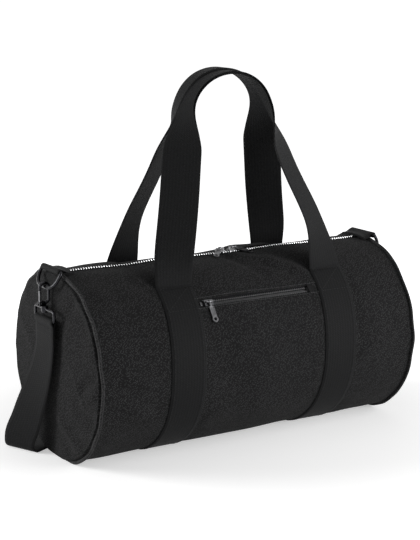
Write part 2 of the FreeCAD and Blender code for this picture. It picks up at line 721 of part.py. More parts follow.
def make_hook(name, side):
    """A swivel snap hook: bow over the ring, spring gate on the outer side, stem through the base's boss."""
    x, bow = side * RING.hang, size.hook_bow_radius

    def spot(out, z):
        return Vector(x + side * out, 0, z)

    bend, radius = RING.bend, size.hook_bend_radius
    middle = (RING.stem + RING.shank) / 2
    small, rise = radius * (1 - cos(bend / 2)), radius * sin(bend / 2)
    tail = RING.stem - size.fold_gap - size.boss_height - size.seat_gap
    edges = [
        line(spot(0, tail), spot(0, RING.stem)),
        arc(spot(0, RING.stem), spot(-small, RING.stem + rise), spot(-bow / 2, middle)),
        arc(spot(-bow / 2, middle), spot(small - bow, RING.shank - rise), spot(-bow, RING.shank)),
        line(spot(-bow, RING.shank), spot(-bow, RING.bow)),
        arc(spot(-bow, RING.bow), spot(0, RING.bow + bow), spot(bow, RING.bow)),
        line(spot(bow, RING.bow), spot(bow, RING.bow - size.hook_nose)),
    ]
    wire = bent_wire(f"{name}_hook_wire", edges, "hook_wire_radius")
    pivot = RING.stem + size.pin_lift + size.lug_half / 2
    lug_low = RING.stem + size.fold_gap
    gate_x = x + side * bow
    ears = box(f"{name}_hook_ears", "hook_bow_radius + gate_thickness", "2 * lug_half",
               str(pivot - lug_low + size.pin_lift),
               str(min(x, gate_x + side * size.gate_thickness)), "-lug_half", str(lug_low))
    slot = box(f"{name}_gate_slot", "2 * gate_thickness + hook_wire_radius + overrun",
               "2 * (gate_half + gate_slot_gap)", "4 * lug_half",
               str(min(gate_x - side * (size.gate_thickness + size.hook_wire_radius),
                       gate_x + side * (size.gate_thickness + size.overrun))),
               "-gate_half - gate_slot_gap", str(lug_low - size.overrun))
    pin_hole = cylinder(f"{name}_pin_hole", "pin_radius", "2 * lug_half + 2 * overrun", ALONG_Y,
                        str(gate_x), "-lug_half - overrun", str(pivot))
    head = cylinder(f"{name}_stem_head", "stem_head_radius", "stem_head_height", ALONG_Z, str(x), "0",
                    str(tail - size.stem_head_height))
    lugs = cut(f"{name}_hook_lugs", ears, slot, pin_hole)
    keep(fuse(f"{name}_hook", wire, lugs, head))
    pin = cylinder(f"{name}_pin_rod", "pin_radius", "2 * lug_half", ALONG_Y,
                   str(gate_x), "-lug_half", str(pivot))
    keep(group(f"{name}_gate_pin", pin))

    tip = RING.bow - size.hook_nose - size.fold_gap
    knuckle = cylinder(f"{name}_gate_knuckle", "gate_thickness / 2 + pin_radius / 2", "2 * gate_half",
                       ALONG_Y, str(gate_x), "-gate_half", str(pivot))
    blade = box(f"{name}_gate_blade", "gate_thickness", "2 * gate_half", str(tip - pivot),
                f"{gate_x} - gate_thickness / 2", "-gate_half", str(pivot))
    bore = cylinder(f"{name}_gate_bore", "pin_radius + pivot_clearance", "2 * gate_half + 2 * overrun",
                    ALONG_Y, str(gate_x), "-gate_half - overrun", str(pivot))
    keep(cut(f"{name}_hook_gate", fuse(f"{name}_gate_blank", knuckle, blade), bore))


def make_base(name, side):
    """The swivel base: a wire loop with a bored boss on its top bar, and the strap end sewn round it."""
    x = side * RING.hang
    half = size.base_inside / 2 + size.base_wire_radius
    corner, turn = size.base_corner, size.base_corner * (1 - sqrt(0.5))
    edges = []
    for lead, high, low in ((1, RING.beam, RING.foot), (-1, RING.foot, RING.beam)):
        fall = 1 if low > high else -1
        start, edge = lead * (corner - half), lead * half
        first, last = high + fall * corner, low - fall * corner
        round_y = lead * (half - turn)
        edges += [
            line(Vector(x, start, high), Vector(x, -start, high)),
            arc(Vector(x, -start, high), Vector(x, round_y, high + fall * turn), Vector(x, edge, first)),
            line(Vector(x, edge, first), Vector(x, edge, last)),
            arc(Vector(x, edge, last), Vector(x, round_y, low - fall * turn), Vector(x, -start, low)),
        ]
    loop = bent_wire(f"{name}_base_loop", edges, "base_wire_radius")
    boss = cylinder(f"{name}_base_boss", "boss_radius", "boss_height", ALONG_Z, str(x), "0",
                    f"{RING.beam} - boss_height / 2")
    bore = cylinder(f"{name}_base_bore", "hook_wire_radius + pivot_clearance", "boss_height + 2 * overrun",
                    ALONG_Z, str(x), "0", f"{RING.beam} - boss_height / 2 - overrun")
    keep(cut(f"{name}_swivel_base", fuse(f"{name}_base_frame", loop, boss), bore))
    plate = box(f"{name}_strap_plate", "2 * webbing_thickness", "webbing_width", "strap_end_length",
                f"{x} - webbing_thickness", "-webbing_width / 2", f"{RING.foot} - strap_end_length")
    keep(webbing_loop(f"{name}_strap_end", x, RING.foot, "(base_wire_radius + seat_gap)", plate))


def strap_direction(turn, side):
    """Width direction of a strap that has turned this far about Z from lying across the bag's end."""
    return Vector(-side * sin(radians(turn)), -cos(radians(turn)), 0)


def make_strap_drop(name, side):
    """The hanging strap, from its sewn end down to the fold on the floor."""
    top = Vector(side * RING.hang, 0, RING.foot - size.strap_end_length - size.fold_gap)
    radius = size.strap_fold_radius + size.webbing_thickness / 2
    low = Vector(side * (RING.hang + size.strap_out), size.strap_back,
                 size.strap_fold_radius + size.webbing_thickness)
    stations = []
    for count in range(STRAP_STATIONS):
        fall = count / (STRAP_STATIONS - 1)
        drift = fall * fall * (2 - fall)
        centre = Vector(top.x + (low.x - top.x) * drift, top.y + (low.y - top.y) * drift,
                        top.z + (low.z - top.z) * fall)
        across = strap_direction(STRAP_TURN * smooth(fall, 0, 1), side)
        stations.append((centre, across, across.cross(Z_AXIS), size.webbing_width, size.webbing_thickness))
    across = strap_direction(STRAP_TURN, side)
    inward = Vector(-side * cos(radians(STRAP_TURN)), sin(radians(STRAP_TURN)), 0)
    lead = across.cross(Z_AXIS)
    sense = 1 if lead.dot(inward) > 0 else -1
    for count in range(1, FOLD_STATIONS + 1):
        bend = radians(90 * count / FOLD_STATIONS)
        centre = low + inward * (radius * (1 - cos(bend))) - Z_AXIS * (radius * sin(bend))
        through = (inward * cos(bend) + Z_AXIS * sin(bend)) * sense
        stations.append((centre, across, through, size.webbing_width, size.webbing_thickness))
    keep(band(f"{name}_strap_drop", stations))
    return stations[-1][0], inward


def run_distance():
    """How far behind the axis the floor run lies: clear of the barrel at the height of the adjuster's top."""
    top = size.strap_lift + size.webbing_thickness + size.fold_gap + size.adjuster_thickness
    chord = sqrt(max(size.barrel_radius ** 2 - (size.axis_height - top) ** 2, 0))
    return chord + size.strap_run_gap + size.adjuster_rail + size.fold_gap + size.webbing_width / 2


RUN_BACK = run_distance()


def make_strap_run(left_foot, left_way, right_foot, right_way):
    """The rest of the strap, flat on the floor behind the barrel, lifted a little through the adjuster."""
    skin = size.webbing_thickness / 2
    stations = []
    for (foot, way), side in (((left_foot, left_way), -1), ((right_foot, right_way), 1)):
        half = []
        start = foot + way * size.fold_gap
        half.append((Vector(start.x, start.y, skin), STRAP_TURN))
        for turn, out, back in zip(RUN_TURNS, RUN_OUT_SHARES, RUN_BACK_SHARES):
            half.append((Vector(side * (RING.hang + out * size.webbing_width), back * RUN_BACK, skin), turn))
        for step, lift in ((1, 0), (0, size.strap_lift)):
            half.append((Vector(side * (size.strap_lift_half + step * size.strap_ramp), RUN_BACK,
                                skin + lift), 0))
        for centre, turn in (half if side < 0 else reversed(half)):
            stations.append((centre, strap_direction(turn, side), Z_AXIS, size.webbing_width,
                             size.webbing_thickness))
    keep(band("strap_floor_run", stations))


def make_adjuster():
    """A webbing slide: outer bars over the strap, the middle bar under it."""
    y = RUN_BACK
    half = size.webbing_width / 2 + size.fold_gap
    strap_low, strap_high = size.strap_lift, size.strap_lift + size.webbing_thickness
    roof = strap_high + size.fold_gap
    rails = [box(f"adjuster_{name}_rail", "adjuster_length", "adjuster_rail", f"{roof} + adjuster_thickness",
                 "-adjuster_length / 2", start, "0")
             for name, start in (("left", f"{y - half} - adjuster_rail"), ("right", str(y + half)))]
    width, start = f"{2 * half} + 2 * adjuster_rail", f"{y - half} - adjuster_rail"
    bars = [box(f"adjuster_{name}_bar", "adjuster_bar", width, "adjuster_thickness",
                f"{side} * (adjuster_length - adjuster_bar) / 2 - adjuster_bar / 2", start, str(roof))
            for name, side in SIDES]
    middle = box("adjuster_middle_bar", "adjuster_bar", width, f"{strap_low} - fold_gap",
                 "-adjuster_bar / 2", start, "0")
    keep(fuse("strap_adjuster", *rails, *bars, middle))


make_body_panel()
for end_name, end_side in SIDES:
    make_end(end_name, end_side)
    make_body_strap(end_name, end_side)
    make_ring(end_name, end_side)
    make_hook(end_name, end_side)
    make_base(end_name, end_side)
make_handle("front_handle", -1)
make_handle("back_handle", 1)
make_main_zip()
make_pocket()
make_strap_run(*make_strap_drop("left", -1), *make_strap_drop("right", 1))
make_adjuster()
doc.recompute()

# Nothing is written unless every object is sound
failed = [thing.Label for thing in doc.Objects if {"Invalid", "Error"} & set(thing.State)]
failed += [thing.Label for thing in pieces if thing.Shape.isNull() or not thing.Shape.isValid()]
if failed:
    raise RuntimeError("failed objects: " + ", ".join(failed))
os.makedirs("parts", exist_ok=True)
for thing in pieces:
    thing.Shape.exportStep(f"parts/{thing.Label}.step")
print(len(pieces), "sub-parts written")
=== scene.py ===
"""Looks of a black fabric barrel bag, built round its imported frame.

Metres.  X runs along the barrel, the pocket side faces -Y and Z is up.  Angles round the barrel are
measured from its top towards the pocket side.  Cloth, webbing, zips and thread are surfaces worked out
with numpy; the metal and plastic pieces are smoothed copies of the frame's own nodes.
"""
import json

import bmesh
import bpy
import numpy as np
from bpy.props import FloatProperty, FloatVectorProperty, PointerProperty
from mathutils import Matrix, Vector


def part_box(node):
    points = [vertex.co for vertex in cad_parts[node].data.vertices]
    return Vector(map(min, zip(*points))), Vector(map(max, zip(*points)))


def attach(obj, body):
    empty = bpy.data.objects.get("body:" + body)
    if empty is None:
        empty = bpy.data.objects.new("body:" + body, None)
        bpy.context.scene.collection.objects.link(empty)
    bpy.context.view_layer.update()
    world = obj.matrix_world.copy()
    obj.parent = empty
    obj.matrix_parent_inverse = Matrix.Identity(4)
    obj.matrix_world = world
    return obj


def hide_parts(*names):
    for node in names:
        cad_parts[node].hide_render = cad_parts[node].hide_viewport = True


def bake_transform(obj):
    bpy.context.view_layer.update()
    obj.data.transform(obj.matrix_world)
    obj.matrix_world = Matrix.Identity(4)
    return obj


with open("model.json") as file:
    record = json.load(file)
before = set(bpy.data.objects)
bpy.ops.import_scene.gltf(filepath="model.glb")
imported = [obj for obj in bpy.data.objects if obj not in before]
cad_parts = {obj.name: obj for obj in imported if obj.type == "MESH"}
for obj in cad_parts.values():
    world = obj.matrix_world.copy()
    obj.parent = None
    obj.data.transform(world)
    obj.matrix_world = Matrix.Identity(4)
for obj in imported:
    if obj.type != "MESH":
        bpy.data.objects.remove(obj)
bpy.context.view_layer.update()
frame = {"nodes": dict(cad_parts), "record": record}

bl_info = {
    "name": "Barrel bag",
    "version": (1, 0, 0),
    "blender": (4, 5, 0),
    "location": "View3D > Sidebar > Barrel bag",
    "description": "Builds a fabric barrel bag with zips, webbing handles and a shoulder strap",
    "category": "Add Mesh",
}

BODY_OF = {node: body for body, nodes in frame["record"]["behaviour"]["bodies"].items() for node in nodes}
X, Y, Z = range(3)
LOW, HIGH = range(2)
SIDES = (("left", -1), ("right", 1))
FRONT_BACK = (("front", -1), ("back", 1))
ALONG = np.array((1.0, 0.0, 0.0))
BACK = np.array((0.0, 1.0, 0.0))
UP = np.array((0.0, 0.0, 1.0))
ROUND = 2 * np.pi
WEAVE_MAP = "weave"


def edge_of(node, axis, end):
    """One coordinate of a node's box at rest."""
    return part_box(node)[end][axis]


# Seams of the barrel
PIPING_WIDTH = 0.005
PIPING_HALF = 0.0019
PIPING_RISE = 0.0026
PIPING_OUT = 0.0012
BINDING_DEPTH = 0.008
BINDING_HALF = 0.0011
SEAM_WOBBLE = 1.6
WOBBLE_SHIFT = 1
HOOP_FLAT_SHARE = 0.2
HOOP_STEPS = 320
HOOP_SIDES = 12
# Soft shape of the cloth: wave lengths, and reaches along the skin
WAVE_COUNT = 9
BROAD_WAVES = (0.08, 0.2)
BROAD_SEED = 4
FINE_WAVES = (0.022, 0.05)
FINE_SEED = 9
FINE_START = 0.006
SEAM_REACH = 0.06
PUCKER_REACH = 0.017
PUCKER_HEIGHT = 0.0006
PUCKER_TURNS = (3, 5, 7, 10, 13, 17, 22)
PUCKER_SEED = 31
PINCH_REACH = 0.011
PINCH_DEPTH = 0.0007
PINCH_HOLD_SHARE = 0.8
FLOOR_ROUND = 0.0022
CREST_SPREAD = 0.3
# Soft folds of the body: (x, angle, x, angle, half width, height), angles in degrees
BODY_FOLDS = (
    (0.018, 7, 0.062, 27, 0.009, 0.0032),
    (0.0, 9, 0.03, 33, 0.008, -0.0022),
    (0.055, 17, 0.094, 35, 0.008, 0.0028),
    (0.040, 22, 0.088, 39, 0.007, -0.0019),
    (-0.205, 10, -0.150, 20, 0.014, 0.0012),
    (-0.165, 25, -0.146, 36, 0.009, -0.0018),
    (-0.236, 78, -0.180, 92, 0.010, 0.0024),
    (-0.225, 92, -0.160, 108, 0.011, -0.0024),
    (-0.210, 104, -0.150, 122, 0.010, 0.0022),
    (0.150, 96, 0.225, 82, 0.012, 0.0020),
    (-0.070, 118, 0.060, 126, 0.013, 0.0017),
    (0.010, 205, 0.080, 235, 0.014, 0.0016),
    (-0.080, 250, -0.020, 285, 0.015, 0.0016),
    (-0.230, 262, -0.165, 245, 0.014, -0.0015),
    (0.160, 300, 0.228, 280, 0.013, 0.0016),
    (-0.060, 330, 0.050, 338, 0.016, 0.0022),
    (-0.210, 338, -0.150, 345, 0.016, 0.0026),
    (0.050, 340, 0.092, 350, 0.014, 0.0024),
)
# Round ends; shares of the radius, of the wrinkle height, of the puckers and of the cloth's thickness
END_STEPS = 110
END_CROWDING = 1.5
END_WAVES = (0.06, 0.16)
END_SEED = 17
END_WAVE_SHARE = 0.6
END_SOFT_SHARES = (0.88, 1.0)
END_SEAT_SHARE = 0.6
GATHER_SHARE = 2.2
GATHER_SHIFT = 0.4
GATHER_POWER = 7
FLOP_DEPTH = 0.004
FLOP_HEIGHT = 0.03
FLOP_SPREAD = 0.05
SEAM_TUCK = 0.0055
TUCK_SHARES = (0.978, 0.994)
# Soft folds of both ends: (y, z, y, z, half width, height)
END_FOLDS = (
    (-0.121, 0.136, -0.082, 0.112, 0.006, -0.0034),
    (-0.120, 0.112, -0.085, 0.095, 0.006, 0.0028),
    (-0.112, 0.070, -0.070, 0.078, 0.009, -0.0018),
    (-0.070, 0.022, -0.020, 0.052, 0.010, 0.0020),
    (0.105, 0.060, 0.055, 0.075, 0.010, -0.0018),
    (0.100, 0.170, 0.060, 0.140, 0.010, 0.0015),
    (-0.060, 0.215, -0.025, 0.175, 0.011, -0.0016),
)
# How the zip line dips and lifts along the barrel: (x, half width, height)
ZIP_WAVES = ((-0.146, 0.026, -0.0016), (-0.090, 0.022, 0.0008), (0.100, 0.030, 0.0008))
# Main zip; a tooth's sizes are along the chain, across it and in height
TAPE_REACH = 0.017
TAPE_THICKNESS = 0.0009
TAPE_COLUMNS = 9
CHAIN_SPAN = (-0.229, 0.229)
CHAIN_DROP = 0.0002
TOOTH_PITCH = 0.0037
TOOTH_LEG = (0.0013, 0.0029, 0.0029)
TOOTH_HEAD = (0.0015, 0.0026, 0.0018)
LEG_PLACE = 0.0026
HEAD_PLACE = 0.0001
HEAD_DROP = 0.0006
ROW_TILT = 0.0005
LOW_ROW_SHARE = 0.55
PARTED_INSET = 0.0024
PARTED_SPAN = (0.006, 0.0212)
BEAD_PLACE = 0.0027
BEAD_RADIUS = 0.00125
BEAD_SIDES = 8
# Front pocket
POCKET_ANGLE = np.radians(48.4)
POCKET_SPAN = (-0.088, 0.093)
POCKET_STEPS = 70
WINDOW_HALF = 0.0055
POCKET_CHAIN = (-0.080, 0.085)
POCKET_PITCH = 0.003
POCKET_LEG = (0.0015, 0.0027, 0.0026)
POCKET_HEAD = (0.0012, 0.0024, 0.0018)
POCKET_LEG_PLACE = 0.0026
POCKET_HEAD_PLACE = 0.0001
POCKET_HEAD_DROP = 0.0012
POCKET_PARTED = (-0.081, -0.0722)
POCKET_TAPE_LEVEL = -0.0035
POCKET_TAPE_SPAN = (0.0026, 0.012)
POCKET_TAPE_COLUMNS = 6
# Folded edges of the pocket slit; round shares are a lift and a swing, full shares a start and a loss
WELT_WIDTH = 0.0056
WELT_HEIGHT = 0.0013
HEM_WIDTH = 0.0040
HEM_HEIGHT = 0.0010
LIP_STEPS = 80
LIP_SIDES = 14
LIP_ROUND_SHARES = (0.42, 0.58)
LIP_FULL_SHARES = (1.15, 0.7)
LIP_SINK = 0.0002
# The tab over the chain's end: its span, its reach up and down (of the slit's half), lift and thickness
END_TAB = (0.0852, 0.0932)
END_TAB_SHARES = (1.05, 1.5)
END_TAB_LIFT = 0.0009
END_TAB_THICKNESS = 0.0013
END_TAB_GRID = (7, 14)
# The pouch; its wave is a steady share, a swing and a number of radians from middle to edge
POUCH_ANGLES = (np.radians(38.6), np.radians(111.4))
POUCH_DEPTH = 0.0115
POUCH_GAP = 0.0012
POUCH_MARGIN = 0.0045
POUCH_POWER = 6
POUCH_WAVE = (0.9, 0.1, 3)
POUCH_GRID = (60, 40)
LINING_THICKNESS = 0.0009
# Handles: how the line closes in along the barrel (of the leg offset) and towards the other handle (of the
# way from foot to crown), and how it turns (radians), as it climbs (of its rise)
HANDLE_RISE_SHARES = (0.014, 0.035, 0.07, 0.25, 0.43, 0.6, 0.72, 0.82, 0.9, 0.96, 1)
HANDLE_SPAN_SHARES = (1, 0.995, 0.985, 0.905, 0.775, 0.665, 0.6, 0.54, 0.45, 0.31, 0)
HANDLE_CLOSE_SHARES = (0.006, 0.02, 0.05, 0.2, 0.5, 0.78, 0.91, 0.975, 1, 1, 1)
TURN_RISE_SHARES = (-1, 0, 0.2, 0.64, 0.86, 1)
HANDLE_TURNS = np.radians((0, 0, 30, 36, 86, 90))
TURN_BLUR = 15
FOLD_SHARES = (0.62, 0.88)
FOLD_NOTCH = 0.0035
ROOT_ANGLES = np.radians((36.4, 35.4, 34.5))
GRIP_GAP = 0.0004
GRIP_STEP = 0.0014
HANDLE_EXTRA = 0.0002
HANDLE_STEPS = 220
HANDLE_COLUMNS = 17
# How far the bands and handles lean along the barrel, and the angles between which the lean fades
BAND_LEAN = 0.009
LEAN_FADE = (np.radians(30), np.radians(95))
# Ring tabs
RING_WRAP = 0.00398
TAB_INNER = 0.230
TAB_LAYERS = (0.00032, -0.00128)
TAB_SHARES = (1, 0.75, 0.5)
TAB_SWELL = 0.0002
TAB_TURNS = np.radians(np.linspace(118, -118, 9))
TAB_SETTLE = (0.004, 0.014)
TAB_STEPS = 110
TAB_COLUMNS = 13
# Shoulder strap
BASE_WRAP = 0.0029
BASE_DOWN = 0.0037
BASE_TURNS = np.radians(np.linspace(200, -20, 9))
SEWN_LENGTH = 0.022
SEWN_SPOTS = (SEWN_LENGTH, SEWN_LENGTH / 2, 0.0065)
SEWN_ROW_SHARES = (0.45, 0.85)
FALL_SHARES = np.linspace(0.18, 1, 6)
STRAP_LOW = np.array((0.27927, 0.046, 0.0106))
STRAP_FOLD = 0.0098
STRAP_TURN = np.radians(24)
FOLD_TURNS = np.radians(np.linspace(18, 90, 5))
INWARD = np.array((-np.cos(STRAP_TURN), np.sin(STRAP_TURN), 0))
STRAP_STEPS = 200
STRAP_COLUMNS = 11
# How far back the strap's floor run lies, and the steps along it
RUN_BACK = 0.09297
RUN_STEPS = 220
# Floor run from one fold to the lifted middle: (distance from the middle, back, lift, turn in degrees)
RUN_STATIONS = ((0.257, 0.0570, 0.0, 30), (0.238, 0.0695, 0.0, 33), (0.214, 0.0835, 0.0, 25),
                (0.180, 0.0920, 0.0, 8), (0.135, RUN_BACK, 0.0, 0), (0.095, RUN_BACK, 0.0034, 0),
                (0.040, RUN_BACK, 0.0034, 0))
# Stitches; a stitch's rings are (share of its length, size in radii, lift in radii)
STITCH_RADIUS = 0.00042
STITCH_PITCH = 0.0036
STITCH_SHARE = 0.74
STITCH_RINGS = ((0, 0.55, -0.5), (0.25, 1, 0.35), (0.75, 1, 0.35), (1, 0.55, -0.5))
STITCH_SIDES = 6
BOX_ANGLES = np.radians((35.2, 51.5))
BOX_INSET = 0.0035
SEAM_MARGIN = 0.002
ZIP_ROW_GAP = 0.004
POCKET_ROWS = (-0.0018, 0.0020)
ROW_SPAN = (-0.090, 0.101)
# Rounded blocks: rings are (share of the length, size)
BLOCK_RINGS = ((-0.5, 0.72), (-0.34, 1.0), (0.34, 1.0), (0.5, 0.72))
BLOCK_SIDES = 8
BLOCK_SQUARENESS = 0.55
# Grids and edges
CLOTH_STEP = 0.0034
STRAP_STEP = 0.004
EDGE_ROUND = 0.42
CLOTH_CREASE = np.radians(55)
METAL_CREASE = np.radians(38)
FLAT_ANGLE = np.radians(0.6)
MERGE_DISTANCE = 1e-6
METAL_EDGE = 0.0003
STOP_EDGE = 0.0004
PIN_EDGE = 0.0002
ADJUSTER_EDGE = 0.0006
# Weaves: yarn cells and threads (along, across), periods, heights, noise scales and how a colour is toned
CLOTH_YARNS = (0.0014, 0.0013)
CLOTH_THREADS = (0.0015, 0.0013)
CLOTH_RELIEF = 0.00012
CLOTH_TONES = (0.62, 2.05)
CLOTH_TONE_PLACES = (0.62, 0.84)
WEAR_SCALE = 30
WEAR_SHARE = 0.14
PIPING_YARNS = (0.0015, 0.0013)
PIPING_TONES = (0.4, 1.6)
RIB_PERIOD = 0.0042
PICK_PERIOD = 0.0030
FLECK_SCALE = 420
# Shares of the painted rib shade and of the random flecks in the webbing's colour
RIB_SHADE_FLECK_SHARES = (0.5, 0.75)
PICK_RIB_SHARES = (0.3, 0.8)
WEBBING_RELIEF = 0.0003
WEBBING_TONES = (0.7, 1.45)
WEBBING_TONE_PLACES = (0.25, 0.75)
TWILL_PERIOD = 0.0009
TAPE_SCALE = 500
TAPE_RELIEF = 0.0001
THREAD_SCALE = 300
THREAD_TONES = (0.6, 1.6)
LINING_PERIOD = 0.0006
LINING_SCALE = 60
LINING_RELIEF = 0.00008
LINING_TONES = (0.7, 1.3)
METAL_SCALE = 260
METAL_DETAIL = 4
METAL_RELIEF = 0.00003
METAL_TONES = (0.82, 1.2)
TONE_PLACES = (0.3, 0.7)
# Metal and plastic: roughness, how much is added where worn, metallic
METALS = {
    "main_teeth": (0.22, 0.15, 1.0),
    "pocket_teeth": (0.3, 0.15, 1.0),
    "zip_metal": (0.26, 0.16, 1.0),
    "hardware": (0.17, 0.12, 1.0),
    "gate": (0.25, 0.15, 1.0),
    "plastic": (0.42, 0.15, 0.0),
}
# What a piece is made of: its finish and the frame's material slot
STUFFS = {
    "cloth": ("cloth", "canvas"),
    "piping": ("piping", "canvas"),
    "webbing": ("webbing", "webbing"),
    "binding": ("tape", "webbing"),
    "tape": ("tape", "zip_tape"),
    "thread": ("thread", "webbing"),
    "pale_thread": ("pale_thread", "webbing"),
    "lining": ("lining", "lining"),
    "main_teeth": ("main_teeth", "main_teeth"),
    "pocket_teeth": ("pocket_teeth", "pocket_teeth"),
    "zip_metal": ("zip_metal", "zip_metal"),
    "hardware": ("hardware", "hardware"),
    "gate": ("gate", "gate_steel"),
    "plastic": ("plastic", "adjuster"),
}
# Camera fitted to the photograph, and the stage; lamps are (name, place, width, watts)
CAMERA_PLACE = (-1.02355, -1.64395, 0.62934)
CAMERA_AIM = (-0.01163, 0.0, 0.22302)
CAMERA_LENS = 124.35
SENSOR_WIDTH = 36
LAMP_AIM = (0, 0, 0.15)
LAMPS = (
    ("right_light", (1.45, -1.2, 0.75), 1.5, 19),
    ("low_light", (1.1, -1.9, 0.35), 1.2, 31),
    ("left_light", (-2.1, 1.1, 0.8), 1.2, 48),
)
FLOOR_HALF = 60.0
FLOOR_GLOW = (0.43, 0.86)
GLOW_REACH = (0.22, 0.8)
ROOM_LIGHT = 0.27


def length_size(label, note, value):
    return FloatProperty(name=label, description=note, default=value, unit="LENGTH", precision=4)


def tint(label, note, value):
    return FloatVectorProperty(name=label, description=note, default=value, subtype="COLOR", min=0, max=1)


class BagSizes(bpy.types.PropertyGroup):
    """Sizes that a maker would change, read from the frame where it holds them."""
    barrel_radius: length_size("Barrel radius", "From the barrel's axis to its cloth",
                               edge_of("body_panel", Y, HIGH))
    half_length: length_size("Half length", "From the middle to the outside of an end seam",
                             edge_of("right_end_piping", X, HIGH))
    axis_height: length_size("Axis height", "From the floor to the barrel's axis",
                             edge_of("left_end_piping", Z, HIGH) - edge_of("left_end_piping", Y, HIGH))
    cloth_thickness: length_size("Cloth thickness", "Padded outer cloth with its lining", 0.0024)
    end_bulge: length_size("End bulge", "How far a round end domes out", 0.006)
    wrinkle_height: length_size("Wrinkle height", "Height of the cloth's broad unevenness", 0.0011)
    zip_gap: length_size("Zip gap", "From the zip's middle to the cloth's edge", 0.009)
    webbing_width: length_size("Webbing width", "Width of bands, handles, tabs and strap",
                               edge_of("right_body_strap", X, HIGH) - edge_of("right_body_strap", X, LOW))
    webbing_thickness: length_size("Webbing thickness", "Thickness of the webbing", 0.0016)
    leg_offset: length_size("Leg offset", "From the middle to the middle of a webbing band",
                            (edge_of("right_body_strap", X, HIGH) + edge_of("right_body_strap", X, LOW)) / 2)
    leave_angle: FloatProperty(name="Leave angle", default=np.radians(34), subtype="ANGLE",
                               description="Where a handle leaves the barrel, from its top")
    grip_width: length_size("Grip width", "Width of a folded grip", 0.0235)
    grip_thickness: length_size("Grip thickness", "Thickness of a folded grip", 0.0042)
    handle_top: length_size("Handle top", "Height of a grip's top", edge_of("front_handle", Z, HIGH))


class BagColours(bpy.types.PropertyGroup):
    """Colours of the finishes."""
    cloth: tint("Cloth", "Woven outer cloth", (0.0153, 0.0153, 0.0156))
    piping: tint("Piping", "Turned edge of the end seams", (0.024, 0.024, 0.0245))
    webbing: tint("Webbing", "Handles, bands, tabs and strap", (0.0080, 0.0081, 0.0084))
    tape: tint("Zip tape", "Woven zip tapes", (0.009, 0.009, 0.0095))
    thread: tint("Thread", "Sewing thread of bands, strap and main zip", (0.013, 0.013, 0.0135))
    # Pocket thread, paler than the rest: partly the thread's own tone and partly a painted highlight of the
    # slit's folded edges, along which its rows run
    pale_thread: tint("Pale thread", "Sewing thread of the pocket", (0.045, 0.045, 0.046))
    lining: tint("Lining", "Inside of the pocket", (0.02, 0.02, 0.021))
    main_teeth: tint("Main teeth", "Bright metal teeth", (0.70, 0.70, 0.71))
    pocket_teeth: tint("Pocket teeth", "Dark metal teeth", (0.078, 0.078, 0.08))
    zip_metal: tint("Zip metal", "Sliders and pulls", (0.105, 0.105, 0.109))
    hardware: tint("Hardware", "Rings, hooks and bases", (0.022, 0.022, 0.024))
    gate: tint("Gate", "Spring gates and their pins", (0.12, 0.12, 0.125))
    plastic: tint("Plastic", "Strap adjuster", (0.012, 0.012, 0.0125))
    floor: tint("Floor", "Plain studio floor", (0.85, 0.85, 0.85))


def sizes():
    return bpy.context.scene.bag_sizes


def colours():
    return bpy.context.scene.bag_colours


# Curves and fields

def smooth(value, first, last):
    """Smoothstep: 0 up to first, 1 past last, with 3t^2 - 2t^3 between."""
    share = np.clip((np.asarray(value, float) - first) / (last - first), 0, 1)
    return share * share * (3 - 2 * share)


def unit(vectors):
    return vectors / np.linalg.norm(vectors, axis=-1, keepdims=True)


def square_to(vectors, along):
    """Unit vectors with their part along the given directions taken out."""
    return unit(vectors - along * np.sum(vectors * along, axis=-1, keepdims=True))


def grid(along, across):
    """Every pair of the two coordinates, as a UV map in metres."""
    return np.stack(np.meshgrid(along, across, indexing="ij"), axis=-1)


def stacked(x, y, z):
    """Points from three coordinates of shapes that fit each other."""
    return np.stack(np.broadcast_arrays(x, y, z), axis=-1)


def turns(count):
    """Even angles once round, without the last."""
    return np.linspace(0, ROUND, count, endpoint=False)


def over_width(count):
    """Even places across a strip one metre wide, about its middle."""
    return np.linspace(-0.5, 0.5, count)


def run_length(points):
    """Distance along a line of points, from its first."""
    return np.concatenate([[0], np.cumsum(np.linalg.norm(np.diff(points, axis=0), axis=1))])


def joined_steps(stops, step):
    """Even steps between the stops, with a grid line on each stop."""
    runs = [np.linspace(a, b, max(int(round((b - a) / step)), 1), endpoint=False)
            for a, b in zip(stops, stops[1:])]
    return np.concatenate(runs + [stops[-1:]])


def spline(points, count):
    """Natural cubic spline by chord length, sampled evenly.  Its second derivatives solve the tridiagonal
    system of equal slopes at each point.  Columns after the third ride along."""
    points = np.asarray(points, float)
    place = run_length(points[:, :3])
    step = np.diff(place)
    last = len(points) - 1
    inner = np.arange(1, last)
    system = np.eye(last + 1)
    system[inner, inner - 1] = step[:-1]
    system[inner, inner] = 2 * (step[:-1] + step[1:])
    system[inner, inner + 1] = step[1:]
    bend = np.zeros_like(points)
    bend[1:-1] = 6 * np.diff(np.diff(points, axis=0) / step[:, None], axis=0)
    bend = np.linalg.solve(system, bend)
    where = np.linspace(0, place[-1], count)
    span = np.clip(np.searchsorted(place, where, side="right") - 1, 0, last - 1)
    gap = step[span][:, None]
    after = (where - place[span])[:, None] / gap
    before = 1 - after
    arch = ((before ** 3 - before) * bend[span] + (after ** 3 - after) * bend[span + 1]) * gap ** 2 / 6
    return before * points[span] + after * points[span + 1] + arch


def ripple(seed, along, across, waves):
    """Sum of cosine waves with seeded directions, phases and lengths between the two given, near -1 to 1."""
    draw = np.random.default_rng(seed)
    total = 0
    for length, way, phase in zip(draw.uniform(*waves, WAVE_COUNT), draw.uniform(0, ROUND, WAVE_COUNT),
                                  draw.uniform(0, ROUND, WAVE_COUNT)):
        total = total + np.cos(ROUND / length * (along * np.cos(way) + across * np.sin(way)) + phase)
    return total / np.sqrt(WAVE_COUNT)


